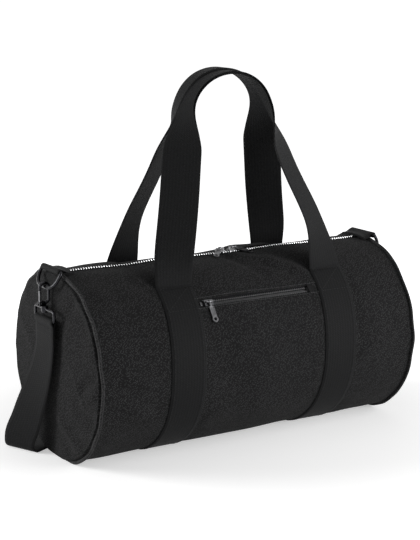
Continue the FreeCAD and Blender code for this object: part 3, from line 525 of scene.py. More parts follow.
def seam_pucker(theta, side):
    """Seeded whole-number waves round an end seam, so that they close on themselves."""
    draw = np.random.default_rng(PUCKER_SEED + side)
    total = 0
    for waves, phase in zip(PUCKER_TURNS, draw.uniform(0, ROUND, len(PUCKER_TURNS))):
        total = total + np.cos(waves * theta + phase)
    return PUCKER_HEIGHT * total / np.sqrt(len(PUCKER_TURNS))


def folds(table, across, along):
    """Each soft fold is a bell of its own half width round a straight line between two points."""
    total = 0
    for first_x, first_y, last_x, last_y, half, height in table:
        run_x, run_y = last_x - first_x, last_y - first_y
        share = ((across - first_x) * run_x + (along - first_y) * run_y) / (run_x ** 2 + run_y ** 2)
        share = np.clip(share, 0, 1)
        off = (across - first_x - share * run_x) ** 2 + (along - first_y - share * run_y) ** 2
        total = total + height * np.exp(-off / half ** 2)
    return total


def zip_wave(x):
    """Height of the zip line over a straight one: a few bells along x."""
    return sum(height * np.exp(-((x - place) / half) ** 2) for place, half, height in ZIP_WAVES)


def straight(x):
    return np.zeros_like(x)


def rest_on(z, level):
    """Soft floor: heights under the level come up to it, with a rounded turn."""
    over = z - level
    return level + (over + np.sqrt(over ** 2 + FLOOR_ROUND ** 2)) / 2


def from_top(theta):
    """Angle from the barrel's top, whichever way is shorter."""
    return np.minimum(theta, ROUND - theta)


def band_lean(theta):
    """How far a band has moved along the barrel: the whole lean at a handle's foot, none lower down."""
    return BAND_LEAN * (1 - smooth(from_top(theta), *LEAN_FADE))


def beside_band(x, theta):
    """Distance along the barrel from the nearer band's edge, less than 0 under the band."""
    s = sizes()
    return np.abs(np.abs(x - band_lean(theta)) - s.leg_offset) - s.webbing_width / 2


def drape(x, theta):
    """Radial unevenness of the body cloth: broad waves, soft folds, puckers at the end seams and a pinch
    beside each webbing band."""
    s = sizes()
    arc = s.barrel_radius * theta
    seam = np.maximum(s.half_length - PIPING_WIDTH - np.abs(x), 0)
    near_seam = np.exp(-seam / PUCKER_REACH)
    pinch = np.exp(-(np.maximum(beside_band(x, theta), 0) / PINCH_REACH) ** 2)
    table = [(x0, s.barrel_radius * np.radians(a0), x1, s.barrel_radius * np.radians(a1), half, height)
             for x0, a0, x1, a1, half, height in BODY_FOLDS]
    free = smooth(seam, 0, SEAM_REACH) * (1 - PINCH_HOLD_SHARE * pinch)
    loose = s.wrinkle_height * ripple(BROAD_SEED, x, arc, BROAD_WAVES) + folds(table, x, arc)
    fine = PUCKER_HEIGHT * near_seam * ripple(FINE_SEED, x, arc, FINE_WAVES) * smooth(seam, 0, FINE_START)
    ends = np.where(x < 0, seam_pucker(theta, -1), seam_pucker(theta, 1)) * near_seam
    return free * loose + fine + ends - PINCH_DEPTH * pinch


def skin(x, theta, lift=0.0, ground=None):
    """Points of the body cloth: a circle of the barrel's radius plus drape and lift, raised by the zip's wave
    near its crest and set down softly on the floor."""
    s = sizes()
    x, theta = np.broadcast_arrays(np.asarray(x, float), np.asarray(theta, float))
    radius = s.barrel_radius + drape(x, theta) + lift
    crest = zip_wave(x) * np.exp(-(from_top(theta) / CREST_SPREAD) ** 2)
    if ground is None:
        ground = s.webbing_thickness * (1 - smooth(beside_band(x, theta), 0, PINCH_REACH))
    height = s.axis_height + radius * np.cos(theta) + crest
    return stacked(x, -radius * np.sin(theta), rest_on(height, ground))


def outward(theta):
    """The barrel's radial direction."""
    theta = np.asarray(theta, float)
    return stacked(np.zeros_like(theta), -np.sin(theta), np.cos(theta))


# Meshes

def quads(rows, columns, wrap_rows=False, wrap_columns=False):
    """Corner numbers of a grid's squares, and the same on a grid that isn't wrapped, for the UV map."""
    row, column = np.meshgrid(np.arange(rows - (not wrap_rows)), np.arange(columns - (not wrap_columns)),
                              indexing="ij")
    corners = ((row, column), (row, column + 1), (row + 1, column + 1), (row + 1, column))
    faces = np.stack([(a % rows) * columns + b % columns for a, b in corners], -1).reshape(-1, 4)
    wide = columns + wrap_columns
    flat = np.stack([a * wide + b for a, b in corners], -1).reshape(-1, 4)
    return faces, flat


def enclosed(points, patches):
    """Six times the signed volume: each face as a fan of tetrahedra from the origin."""
    total = 0
    for faces, _ in patches:
        corner = points[faces]
        first, second, third = corner[:, :1], corner[:, 1:-1], corner[:, 2:]
        total += np.sum(first * np.cross(second, third))
    return total


def placed(name, mesh, crease, stuff, nodes, body):
    """Puts a mesh into the scene with its finish, hides the frame nodes that it stands for and attaches it to
    its body.
    """
    finish, slot = STUFFS[stuff]
    mesh.shade_smooth()
    mesh.set_sharp_from_angle(angle=crease)
    mesh.materials.clear()
    mesh.materials.append(finish_of(finish))
    thing = bpy.data.objects.new(name, mesh)
    bpy.context.scene.collection.objects.link(thing)
    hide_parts(*nodes)
    if body:
        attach(thing, body)
    return thing


def add_piece(name, points, patches, stuff, nodes=(), body="bag", closed=True):
    """A mesh from point and face arrays, with its UV map in metres.  A closed shape that comes out inside out
    is turned."""
    points = np.asarray(points, float).reshape(-1, 3)
    if closed and enclosed(points, patches) < 0:
        patches = [(faces[:, ::-1], uv[:, ::-1]) for faces, uv in patches]
    mesh = bpy.data.meshes.new(name)
    mesh.from_pydata(points.tolist(), [], [face for faces, _ in patches for face in faces.tolist()])
    layer = mesh.uv_layers.new(name=WEAVE_MAP)
    layer.data.foreach_set("uv", np.concatenate([uv.reshape(-1) for _, uv in patches]).astype(np.float32))
    return placed(name, mesh, CLOTH_CREASE, stuff, nodes, body)


def sheet_piece(name, points, uv, stuff, nodes, keep=None, turned=False):
    """An open cloth sheet from a grid of points, thickened towards its inside."""
    faces, flat = quads(*points.shape[:2])
    if keep is not None:
        faces, flat = faces[keep], flat[keep]
    if turned:
        faces, flat = faces[:, ::-1], flat[:, ::-1]
    thing = add_piece(name, points, [(faces, uv.reshape(-1, 2)[flat])], stuff, nodes, closed=False)
    wall = thing.modifiers.new("wall", "SOLIDIFY")
    wall.thickness = sizes().cloth_thickness
    wall.offset = -1
    return thing


def end_rings(rows, columns):
    """Corner numbers of the two flat ends of a tube."""
    first = np.arange(columns)[None, ::-1]
    return np.concatenate([first, first[:, ::-1] + (rows - 1) * columns])


def tube_piece(name, points, uv, stuff, nodes=(), body="bag", ring=False):
    """A closed tube from rings of points; a path that doesn't close on itself gets flat ends."""
    rows, columns = points.shape[:2]
    faces, flat = quads(rows, columns, wrap_rows=ring, wrap_columns=True)
    patches = [(faces, uv.reshape(-1, 2)[flat])]
    if not ring:
        patches.append((end_rings(rows, columns), np.stack([uv[0, columns - 1::-1], uv[-1, :columns]])))
    return add_piece(name, points, patches, stuff, nodes, body)


def slab(mid, normal, thickness):
    """A strip of the given thickness: its middle surface moved out along the normal, round one edge, back
    under and round the other edge, with its UV map."""
    over, under = mid + normal * thickness / 2, mid - normal * thickness / 2
    edge = np.broadcast_to(thickness, (len(mid), 1, 1))[:, 0] * EDGE_ROUND
    far = mid[:, -1] + unit(mid[:, -1] - mid[:, -2]) * edge
    near = mid[:, 0] + unit(mid[:, 0] - mid[:, 1]) * edge
    points = np.concatenate([over, far[:, None], under[:, ::-1], near[:, None]], axis=1)
    along = run_length(mid[:, mid.shape[1] // 2])
    across = run_length(mid[0])
    return points, grid(along, np.concatenate([across, across[-1:], across[::-1], across[:1], across[:1]]))


def strip_piece(name, mid, normal, thickness, stuff, nodes, body="bag"):
    """A closed strip from its middle surface, its normals and its thickness."""
    return tube_piece(name, *slab(mid, normal, thickness), stuff, nodes, body)


def hoop(name, side, half_x, half_r, out, stuff, nodes):
    """A soft ring round an end seam: an oval section carried round the barrel's outline, with its puckers."""
    s = sizes()
    theta, turn = turns(HOOP_STEPS)[:, None], turns(HOOP_SIDES)[None, :]
    radius = s.barrel_radius + out + seam_pucker(theta, side) + half_r * np.sin(turn)
    wobble = SEAM_WOBBLE * seam_pucker(theta + WOBBLE_SHIFT, side)
    x = side * (s.half_length - PIPING_WIDTH / 2) + half_x * np.cos(turn) + wobble
    level = np.maximum(half_r * HOOP_FLAT_SHARE * np.sin(turn) - out, 0)
    points = stacked(x, -radius * np.sin(theta), rest_on(s.axis_height + radius * np.cos(theta), level))
    uv = grid(s.barrel_radius * np.linspace(0, ROUND, HOOP_STEPS + 1),
              np.linspace(0, np.pi * (half_x + half_r), HOOP_SIDES + 1))
    return tube_piece(name, points, uv, stuff, nodes, ring=True)


def blocks(name, places, across, normal, dims, stuff, nodes):
    """Many small rounded blocks along the barrel: rings of a superellipse, closed by two flat ends."""
    turn = turns(BLOCK_SIDES) + np.pi / BLOCK_SIDES
    ring = np.stack([np.sign(np.cos(turn)) * np.abs(np.cos(turn)) ** BLOCK_SQUARENESS,
                     np.sign(np.sin(turn)) * np.abs(np.sin(turn)) ** BLOCK_SQUARENESS], axis=-1)
    ring /= np.abs(ring).max(axis=0)
    length, breadth, height = dims
    rings = [places[:, None] + ALONG * (step * length) + across * (ring[:, :1] * breadth / 2 * share)
             + normal * (ring[:, 1:] * height / 2 * share) for step, share in BLOCK_RINGS]
    return repeat_rings(name, rings, BLOCK_SIDES, stuff, nodes)


def repeat_rings(name, rings, sides, stuff, nodes=(), body="bag"):
    """Joins the rings of each copy with squares and closes its two ends."""
    points = np.concatenate(rings, axis=1)
    base = np.arange(len(points))[:, None, None] * len(rings) * sides
    faces = quads(len(rings), sides, wrap_columns=True)[0]
    ends = end_rings(len(rings), sides)
    corners = [(faces + base).reshape(-1, 4), (ends + base).reshape(-1, sides)]
    flat = points.reshape(-1, 3)
    patches = [(corner, flat[corner][..., :2]) for corner in corners]
    return add_piece(name, points, patches, stuff, nodes, body)


def stitches(name, runs, stuff="thread", body="bag"):
    """Thread stitches: each a short capsule whose ends sink into the cloth."""
    starts, ends, normals = (np.concatenate([run[part] for run in runs]) for part in range(3))
    across = unit(np.cross(normals, ends - starts))
    turn = turns(STITCH_SIDES)[None, :, None]
    section = across[:, None] * np.cos(turn) + normals[:, None] * np.sin(turn)
    rings = [(starts + (ends - starts) * share + normals * lift * STITCH_RADIUS)[:, None]
             + STITCH_RADIUS * size * section for share, size, lift in STITCH_RINGS]
    return repeat_rings(name, rings, STITCH_SIDES, stuff, body=body)


def stitch_run(place, length):
    """Cuts a line into stitches: place gives points and normals for shares from 0 to 1."""
    count = max(int(length / STITCH_PITCH), 1)
    first = np.arange(count) / count
    start, normal = place(first)
    end, _ = place(first + STITCH_SHARE / count)
    return start, end, normal


def skin_run(first, last, lift, lean=0.0):
    """A row of stitches on the body between two places, each (x, angle); lean is the share of the bands' lean
    that it follows."""
    def place(share):
        theta = first[1] + (last[1] - first[1]) * share
        x = first[0] + (last[0] - first[0]) * share + lean * band_lean(theta)
        return skin(x, theta, lift, np.zeros_like(x) + STITCH_RADIUS), outward(theta)

    return stitch_run(place, np.hypot(last[0] - first[0], sizes().barrel_radius * (last[1] - first[1])))


def finished_copy(node, stuff, bevel=METAL_EDGE):
    """A smoothed copy of a frame node: doubled corners merged, flat faces joined, edges rounded."""
    mesh = frame["nodes"][node].data.copy()
    work = bmesh.new()
    work.from_mesh(mesh)
    bmesh.ops.remove_doubles(work, verts=work.verts, dist=MERGE_DISTANCE)
    bmesh.ops.dissolve_limit(work, angle_limit=FLAT_ANGLE, verts=work.verts, edges=work.edges)
    work.to_mesh(mesh)
    work.free()
    thing = placed(f"{node}_finished", mesh, METAL_CREASE, stuff, [node], BODY_OF[node])
    if bevel:
        edge = thing.modifiers.new("edge", "BEVEL")
        edge.width = bevel
        edge.segments = 2
        edge.limit_method = "ANGLE"
        edge.angle_limit = METAL_CREASE
    return thing


# Finishes

def shade(name, sockets):
    """A material whose constant values stand on its shader's own sockets."""
    material = bpy.data.materials.new(f"{name}_finish")
    material.use_nodes = True
    shader = material.node_tree.nodes["Principled BSDF"]
    for socket, value in sockets.items():
        shader.inputs[socket].default_value = value
    return material, material.node_tree, shader


def node(tree, kind, inputs, **settings):
    """One shader node, with its settings and inputs; an input that is a socket is linked."""
    made = tree.nodes.new(kind)
    for key, value in settings.items():
        setattr(made, key, value)
    for socket, value in inputs.items():
        if isinstance(value, bpy.types.NodeSocket):
            tree.links.new(value, made.inputs[socket])
        else:
            made.inputs[socket].default_value = value
    return made.outputs


def maths(tree, operation, first, second=0.0):
    return node(tree, "ShaderNodeMath", {0: first, 1: second}, operation=operation)[0]


def mixed(tree, first, second, shares):
    """Sum of two values, each times its share."""
    return maths(tree, "ADD", maths(tree, "MULTIPLY", first, shares[0]),
                 maths(tree, "MULTIPLY", second, shares[1]))


def wave(tree, value, period):
    """Sine of a length, repeating each period."""
    return maths(tree, "SINE", maths(tree, "MULTIPLY", value, ROUND / period))


def crossed(tree, along, across, periods):
    """Threads both ways: the product of two waves."""
    return maths(tree, "MULTIPLY", wave(tree, along, periods[0]), wave(tree, across, periods[1]))


def noise(tree, place, scale, detail=2):
    return node(tree, "ShaderNodeTexNoise", {"Vector": place, "Scale": scale, "Detail": detail})[0]


def object_place(tree):
    return node(tree, "ShaderNodeTexCoord", {})["Object"]


def weave_uv(tree):
    uv = node(tree, "ShaderNodeUVMap", {}, uv_map=WEAVE_MAP)["UV"]
    split = node(tree, "ShaderNodeSeparateXYZ", {0: uv})
    return uv, split["X"], split["Y"]


def paint(tree, shader, tone, colour, shares, places=TONE_PLACES):
    """Base colour from a tone: the colour times the first share up to the first place, times the second share
    from the second place, and a ramp between."""
    made = tree.nodes.new("ShaderNodeValToRGB")
    for element, share, place in zip(made.color_ramp.elements, shares, places):
        element.color = (*(min(part * share, 1) for part in colour), 1)
        element.position = place
    tree.links.new(tone, made.inputs["Fac"])
    tree.links.new(made.outputs["Color"], shader.inputs["Base Color"])


def relief(tree, shader, height, distance):
    bump = node(tree, "ShaderNodeBump", {"Height": height, "Distance": distance, "Strength": 1.0})
    tree.links.new(bump["Normal"], shader.inputs["Normal"])


def yarn_tone(tree, along, across, yarns):
    """A tone for each crossing of yarns, from cells of the two given sizes: a random value less half of each
    of two neighbours' values, plus a half, so that the grain stays fine and has no broad patches."""
    def cell(*steps):
        places = [maths(tree, "ADD", maths(tree, "FLOOR", maths(tree, "DIVIDE", place, size)), step)
                  for place, size, step in zip((along, across), yarns, steps)]
        corner = node(tree, "ShaderNodeCombineXYZ", {0: places[0], 1: places[1]})[0]
        return node(tree, "ShaderNodeTexWhiteNoise", {"Vector": corner}, noise_dimensions="2D")["Value"]

    beside = maths(tree, "MULTIPLY", maths(tree, "ADD", cell(1.0, 0.0), cell(0.0, 1.0)), 0.5)
    return maths(tree, "ADD", maths(tree, "SUBTRACT", cell(0.0, 0.0), beside), 0.5)


def cloth_finish(name, colour):
    """Plain weave: each yarn crossing has a tone of its own, over fine threads and broad uneven wear."""
    material, tree, shader = shade(name, {
        "Roughness": 0.88, "Specular IOR Level": 0.05, "Sheen Weight": 0.015, "Sheen Roughness": 0.6})
    uv, along, across = weave_uv(tree)
    grain = yarn_tone(tree, along, across, CLOTH_YARNS)
    tone = mixed(tree, grain, noise(tree, uv, WEAR_SCALE), (1 - WEAR_SHARE, WEAR_SHARE))
    paint(tree, shader, tone, colour, CLOTH_TONES, CLOTH_TONE_PLACES)
    relief(tree, shader, crossed(tree, along, across, CLOTH_THREADS), CLOTH_RELIEF)
    return material


def piping_finish(name, colour):
    """The seam's turned edge: paler than the cloth, with the same kind of yarn grain."""
    material, tree, shader = shade(name, {"Roughness": 0.7, "Specular IOR Level": 0.1})
    _, along, across = weave_uv(tree)
    paint(tree, shader, yarn_tone(tree, along, across, PIPING_YARNS), colour, PIPING_TONES)
    return material


def webbing_finish(name, colour):
    """Herringbone webbing: even ribs across the width, with slanting picks between them.  Its colour is a
    painted shade of the ribs, darker in each rib's groove and paler where the relief stands high, mixed with
    random flecks.
    """
    material, tree, shader = shade(name, {
        "Roughness": 0.72, "Specular IOR Level": 0.07, "Sheen Weight": 0.01, "Sheen Roughness": 0.5})
    uv, along, across = weave_uv(tree)
    saw = maths(tree, "FRACT", maths(tree, "DIVIDE", across, RIB_PERIOD))
    rib = maths(tree, "ABSOLUTE", maths(tree, "SUBTRACT", saw, 0.5))
    slant = maths(tree, "ADD", along, maths(tree, "MULTIPLY", rib, RIB_PERIOD))
    # Painted shade of the ribs: the colour follows the rib that also raises the relief, darker in the
    # grooves, with random flecks mixed in
    tone = mixed(tree, rib, noise(tree, uv, FLECK_SCALE), RIB_SHADE_FLECK_SHARES)
    paint(tree, shader, tone, colour, WEBBING_TONES, WEBBING_TONE_PLACES)
    relief(tree, shader, mixed(tree, wave(tree, slant, PICK_PERIOD), rib, PICK_RIB_SHARES), WEBBING_RELIEF)
    return material


def tape_finish(name, colour):
    """Zip tape: a fine slanting twill."""
    material, tree, shader = shade(name, {"Roughness": 0.8, "Specular IOR Level": 0.15})
    uv, along, across = weave_uv(tree)
    paint(tree, shader, noise(tree, uv, TAPE_SCALE), colour, THREAD_TONES)
    relief(tree, shader, wave(tree, maths(tree, "ADD", along, across), TWILL_PERIOD), TAPE_RELIEF)
    return material


def thread_finish(name, colour):
    """Twisted sewing thread with a soft gloss."""
    material, tree, shader = shade(name, {"Roughness": 0.6, "Specular IOR Level": 0.12})
    paint(tree, shader, noise(tree, object_place(tree), THREAD_SCALE), colour, THREAD_TONES)
    return material


def lining_finish(name, colour):
    """Thin plain pocket lining."""
    material, tree, shader = shade(name, {"Roughness": 0.7, "Specular IOR Level": 0.2})
    uv, along, across = weave_uv(tree)
    paint(tree, shader, noise(tree, uv, LINING_SCALE), colour, LINING_TONES)
    relief(tree, shader, crossed(tree, along, across, (LINING_PERIOD, LINING_PERIOD)), LINING_RELIEF)
    return material


def metal_finish(name, colour):
    """Cast metal or plastic: fine uneven gloss and a grain too small to see as colour."""
    roughness, worn, metallic = METALS[name]
    material, tree, shader = shade(name, {"Metallic": metallic})
    cloud = noise(tree, object_place(tree), METAL_SCALE, METAL_DETAIL)
    paint(tree, shader, cloud, colour, METAL_TONES)
    gloss = node(tree, "ShaderNodeMapRange", {0: cloud, 1: TONE_PLACES[0], 2: TONE_PLACES[1], 3: roughness,
                                              4: roughness + worn})[0]
    tree.links.new(gloss, shader.inputs["Roughness"])
    relief(tree, shader, cloud, METAL_RELIEF)
    return material


FINISHES = {
    "cloth": cloth_finish,
    "piping": piping_finish,
    "webbing": webbing_finish,
    "tape": tape_finish,
    "thread": thread_finish,
    "pale_thread": thread_finish,
    "lining": lining_finish,
    **dict.fromkeys(METALS, metal_finish),
}


def finish_of(name):
    """A finish by its name, made the first time that it is asked for."""
    return bpy.data.materials.get(f"{name}_finish") or FINISHES[name](name, getattr(colours(), name))


# Pieces

class BAG_OT_body_cloth(bpy.types.Operator):
    """Wraps the body cloth round the barrel, with its mouth and the pocket slit"""
    bl_idname = "bag.body_cloth"
    bl_label = "Body cloth"

    def execute(self, context):
        s = sizes()
        edge = np.arcsin(s.zip_gap / s.barrel_radius)
        slit = WINDOW_HALF / s.barrel_radius
        end = s.half_length - PIPING_WIDTH / 3
        x = joined_steps((-end, *POCKET_SPAN, end), CLOTH_STEP)
        theta = joined_steps((edge, POCKET_ANGLE - slit, POCKET_ANGLE + slit, ROUND - edge),
                             CLOTH_STEP / s.barrel_radius)
        middle_x = (x[:-1] + x[1:])[:, None] / 2
        middle_theta = (theta[:-1] + theta[1:])[None, :] / 2
        inside = ((middle_x > POCKET_SPAN[LOW]) & (middle_x < POCKET_SPAN[HIGH])
                  & (np.abs(middle_theta - POCKET_ANGLE) < slit))
        sheet_piece("body_cloth", skin(x[:, None], theta[None, :]), grid(x, s.barrel_radius * theta), "cloth",
                    ["body_panel"], ~inside.reshape(-1))
        return {"FINISHED"}


class BAG_OT_end_cloths(bpy.types.Operator):
    """Domes the two round ends and runs their piping and inner binding"""
    bl_idname = "bag.end_cloths"
    bl_label = "End cloths and seams"

    def execute(self, context):
        inside = -sizes().cloth_thickness - BINDING_DEPTH / 2
        for name, side in SIDES:
            end_cloth(name, side)
            hoop(f"{name}_seam_ridge", side, PIPING_HALF, PIPING_RISE, PIPING_OUT, "piping",
                 [f"{name}_end_piping"])
            hoop(f"{name}_inner_binding", side, BINDING_HALF, BINDING_DEPTH / 2, inside, "binding",
                 [f"{name}_seam_binding"])
        return {"FINISHED"}


def end_cloth(name, side):
    """A square grid, closer towards its edges, drawn out to a disc, u sqrt(1 - v^2/2) by v sqrt(1 - u^2/2),
    domed by one minus the radius squared, with puckers that grow towards the seam, a slack low part and a
    narrow tuck beside the seam."""
    s = sizes()
    step = np.linspace(-1, 1, END_STEPS)
    step = np.sign(step) * (1 - (1 - np.abs(step)) ** END_CROWDING)
    u, v = np.meshgrid(step, step, indexing="ij")
    front, up = u * np.sqrt(1 - v ** 2 / 2), v * np.sqrt(1 - u ** 2 / 2)
    reach = np.hypot(front, up)
    theta = np.arctan2(front, up) % ROUND
    rim = s.barrel_radius + seam_pucker(theta, side)
    y, z = -front * rim, s.axis_height + up * rim
    dome = 1 - reach ** 2
    soft = 1 - smooth(reach, *END_SOFT_SHARES)
    waves = s.wrinkle_height * END_WAVE_SHARE * ripple(END_SEED + side, y, z, END_WAVES)
    uneven = (waves + folds(END_FOLDS, y, z)) * soft
    gathered = GATHER_SHARE * seam_pucker(theta + GATHER_SHIFT, side) * reach ** GATHER_POWER * soft
    flop = FLOP_DEPTH * np.exp(-((z - FLOP_HEIGHT) / FLOP_SPREAD) ** 2) * dome
    tuck = SEAM_TUCK * smooth(reach, *TUCK_SHARES)
    out = s.half_length + s.cloth_thickness * END_SEAT_SHARE + s.end_bulge * dome
    points = stacked(side * (out + uneven + gathered - flop - tuck), y, rest_on(z, 0))
    sheet_piece(f"{name}_end_cloth", points, np.stack([y, z], axis=-1), "cloth", [f"{name}_end_panel"],
                turned=side < 0)


class BAG_OT_body_straps(bpy.types.Operator):
    """Sews the two webbing bands round the barrel"""
    bl_idname = "bag.body_straps"
    bl_label = "Body straps"

    def execute(self, context):
        s = sizes()
        half = s.webbing_thickness / 2
        theta = np.arange(s.leave_angle, ROUND - s.leave_angle, STRAP_STEP / s.barrel_radius)[:, None]
        across = over_width(STRAP_COLUMNS)[None, :] * s.webbing_width
        for name, side in SIDES:
            mid = skin(side * s.leg_offset + across + band_lean(theta), theta, half, half)
            strip_piece(f"{name}_webbing_band", mid, outward(theta), s.webbing_thickness, "webbing",
                        [f"{name}_body_strap"])
        return {"FINISHED"}


class BAG_OT_handles(bpy.types.Operator):
    """Raises the two handles: wide legs that turn a quarter and fold in half to narrow grips"""
    bl_idname = "bag.handles"
    bl_label = "Handles"

    def execute(self, context):
        for name, side in FRONT_BACK:
            handle(name, side)
        return {"FINISHED"}


def handle_line(side):
    """Centre line from one band's end over the crown to the other's: in the band's own layer at the roots,
    then through the shares of the leg offset, of the way in and of the rise, all leaning along the barrel."""
    s = sizes()
    radius = s.barrel_radius + s.webbing_thickness / 2

    def on_band(angle):
        return side * radius * np.sin(angle), s.axis_height + radius * np.cos(angle)

    foot = np.array((0, *on_band(s.leave_angle)))
    crown_z = s.handle_top - s.grip_thickness / 2 - GRIP_STEP * (1 - side)
    crown = np.array((0, side * (s.grip_width / 2 + GRIP_GAP), crown_z))
    spans, closes, rises = (np.array(shares) for shares in (HANDLE_SPAN_SHARES, HANDLE_CLOSE_SHARES,
                                                            HANDLE_RISE_SHARES))
    leg = stacked(-s.leg_offset * spans, foot[Y] + (crown[Y] - foot[Y]) * closes,
                  foot[Z] + (crown[Z] - foot[Z]) * rises)
    left = np.concatenate([stacked(-s.leg_offset, *on_band(ROOT_ANGLES)), leg])
    right = left[-2::-1] * (-1, 1, 1)
    line = spline(np.concatenate([left, right]), HANDLE_STEPS) + ALONG * BAND_LEAN
    return line, (line[:, Z] - foot[Z]) / (crown[Z] - foot[Z]), foot


def handle(name, side):
    """A strip carried along the handle's line.  As it folds in half its width narrows to the grip's and its
    thickness grows to two layers, whose open edges part in a notch."""
    s = sizes()
    line, rise, foot = handle_line(side)
    turn = np.interp(rise, TURN_RISE_SHARES, HANDLE_TURNS)
    turn = np.pad(turn, TURN_BLUR // 2, mode="edge")
    turn = np.convolve(turn, np.ones(TURN_BLUR) / TURN_BLUR, mode="valid")
    lead = np.where(line[:, X] < BAND_LEAN, 1.0, -1.0)
    along = unit(np.gradient(line, axis=0))
    across = square_to(stacked(lead * np.cos(turn), side * np.sin(turn), 0.0), along)
    through = np.cross(along, across)
    fold = smooth(rise, *FOLD_SHARES)[:, None, None]
    width = s.webbing_width + fold * (s.grip_width - s.webbing_width)
    flat = s.webbing_thickness + HANDLE_EXTRA
    thick = flat + fold * (s.grip_thickness - flat)
    mid = line[:, None] + across[:, None] * over_width(HANDLE_COLUMNS)[None, :, None] * width
    points, uv = slab(mid, through[:, None], thick)
    points[:, HANDLE_COLUMNS] -= across * (fold[:, 0] * (FOLD_NOTCH + thick[:, 0] * EDGE_ROUND))
    thing = tube_piece(f"{name}_handle_webbing", points, uv, "webbing", [f"{name}_handle"], body=None)
    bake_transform(thing)


class BAG_OT_main_zip(bpy.types.Operator):
    """Lays the main zip along the top: tapes, teeth, stops, sliders and pulls"""
    bl_idname = "bag.main_zip"
    bl_label = "Main zip"

    def execute(self, context):
        s = sizes()
        crest = s.axis_height + s.barrel_radius
        end = s.half_length - PIPING_WIDTH
        x = np.arange(-end, end + CLOTH_STEP / 2, CLOTH_STEP)[:, None]
        inside = s.barrel_radius - s.cloth_thickness
        reach = np.linspace(TAPE_REACH, BEAD_PLACE, TAPE_COLUMNS)
        sunk = inside - s.barrel_radius - reach ** 2 / (2 * inside) - TAPE_THICKNESS / 2
        level = np.where(reach < s.zip_gap, sunk * smooth(reach, BEAD_PLACE, s.zip_gap), sunk) - CHAIN_DROP
        for name, side in FRONT_BACK:
            strip_piece(f"main_{name}_tape", stacked(x, side * reach, crest + level + zip_wave(x)), UP,
                        TAPE_THICKNESS, "tape", [f"main_zip_{name}_tape"])
            chain = crest - CHAIN_DROP - side * ROW_TILT
            bead(f"main_{name}_bead", side, chain)
            low = LOW_ROW_SHARE if side > 0 else 1
            for part, dims, inset, drop, nodes in (
                    ("teeth", TOOTH_LEG, LEG_PLACE, 0.0, [f"main_zip_{name}_teeth"]),
                    ("tooth_heads", TOOTH_HEAD, HEAD_PLACE, HEAD_DROP, [])):
                lowered = (*dims[:2], dims[2] * low)
                teeth_row(f"main_{name}_{part}", side, CHAIN_SPAN, TOOTH_PITCH, lowered, inset, PARTED_SPAN,
                          UP * (chain - drop), BACK, UP, zip_wave, "main_teeth", nodes)
        finished_copy("main_zip_end_stops", "main_teeth", STOP_EDGE)
        for name, _ in SIDES:
            finished_copy(f"main_zip_{name}_slider", "zip_metal")
            finished_copy(f"main_zip_{name}_pull", "zip_metal")
        return {"FINISHED"}


def bead(name, side, height):
    """The corded edge that a row of teeth grips: a round section along the zip line."""
    x = np.arange(CHAIN_SPAN[LOW], CHAIN_SPAN[HIGH] + CLOTH_STEP / 2, CLOTH_STEP)[:, None]
    turn = turns(BEAD_SIDES)[None, :]
    points = stacked(x, side * BEAD_PLACE + BEAD_RADIUS * np.cos(turn),
                     height + zip_wave(x) + BEAD_RADIUS * np.sin(turn))
    uv = grid(x[:, 0], BEAD_RADIUS * np.linspace(0, ROUND, BEAD_SIDES + 1))
    tube_piece(name, points, uv, "tape")


def teeth_row(name, side, span, pitch, dims, inset, parted, seat, across, normal, rise, stuff, nodes):
    """One row of teeth, half a pitch off the other row; between the parted places they stand back."""
    count = int((span[HIGH] - span[LOW]) / pitch) - 1
    x = sum(span) / 2 + (np.arange(count + 1) - count / 2) * pitch + side * pitch / 4
    x = x[(x > span[LOW] + dims[0]) & (x < span[HIGH] - dims[0])]
    open_here = (x > parted[LOW]) & (x < parted[HIGH])
    back = side * np.where(open_here, inset + PARTED_INSET, inset)
    places = seat + ALONG * x[:, None] + across * back[:, None] + normal * rise(x)[:, None]
    blocks(name, places, across, normal, dims, stuff, nodes)


class BAG_OT_front_pocket(bpy.types.Operator):
    """Sets the front pocket: welt, hem, zip, end tab and the pouch behind it"""
    bl_idname = "bag.front_pocket"
    bl_label = "Front pocket"

    def execute(self, context):
        s = sizes()
        x = np.linspace(*POCKET_SPAN, POCKET_STEPS)
        out = outward(POCKET_ANGLE)
        up = -np.cross(ALONG, out)
        level = UP * s.axis_height + out * s.barrel_radius + out * POCKET_TAPE_LEVEL
        for name, side in (("lower", -1), ("upper", 1)):
            reach = np.linspace(*POCKET_TAPE_SPAN, POCKET_TAPE_COLUMNS) * side
            mid = level + up * reach[None, :, None] + ALONG * x[:, None, None]
            strip_piece(f"pocket_{name}_tape", mid, out, TAPE_THICKNESS, "tape", [f"pocket_zip_{name}_tape"])
            for part, dims, inset, drop, nodes in (
                    ("teeth", POCKET_LEG, POCKET_LEG_PLACE, 0.0, [f"pocket_zip_{name}_teeth"]),
                    ("tooth_heads", POCKET_HEAD, POCKET_HEAD_PLACE, POCKET_HEAD_DROP, [])):
                teeth_row(f"pocket_{name}_{part}", side, POCKET_CHAIN, POCKET_PITCH, dims, inset,
                          POCKET_PARTED, level - out * drop, up, out, straight, "pocket_teeth", nodes)
        slit = WINDOW_HALF / s.barrel_radius
        lip("pocket_welt_fold", POCKET_ANGLE - slit, -WELT_WIDTH, WELT_HEIGHT, ["pocket_welt"])
        lip("pocket_lower_hem", POCKET_ANGLE + slit, HEM_WIDTH, HEM_HEIGHT, [])
        end_tab(slit)
        pouch()
        finished_copy("pocket_zip_stops", "pocket_teeth")
        finished_copy("pocket_zip_slider", "zip_metal")
        finished_copy("pocket_zip_pull", "zip_metal")
        return {"FINISHED"}


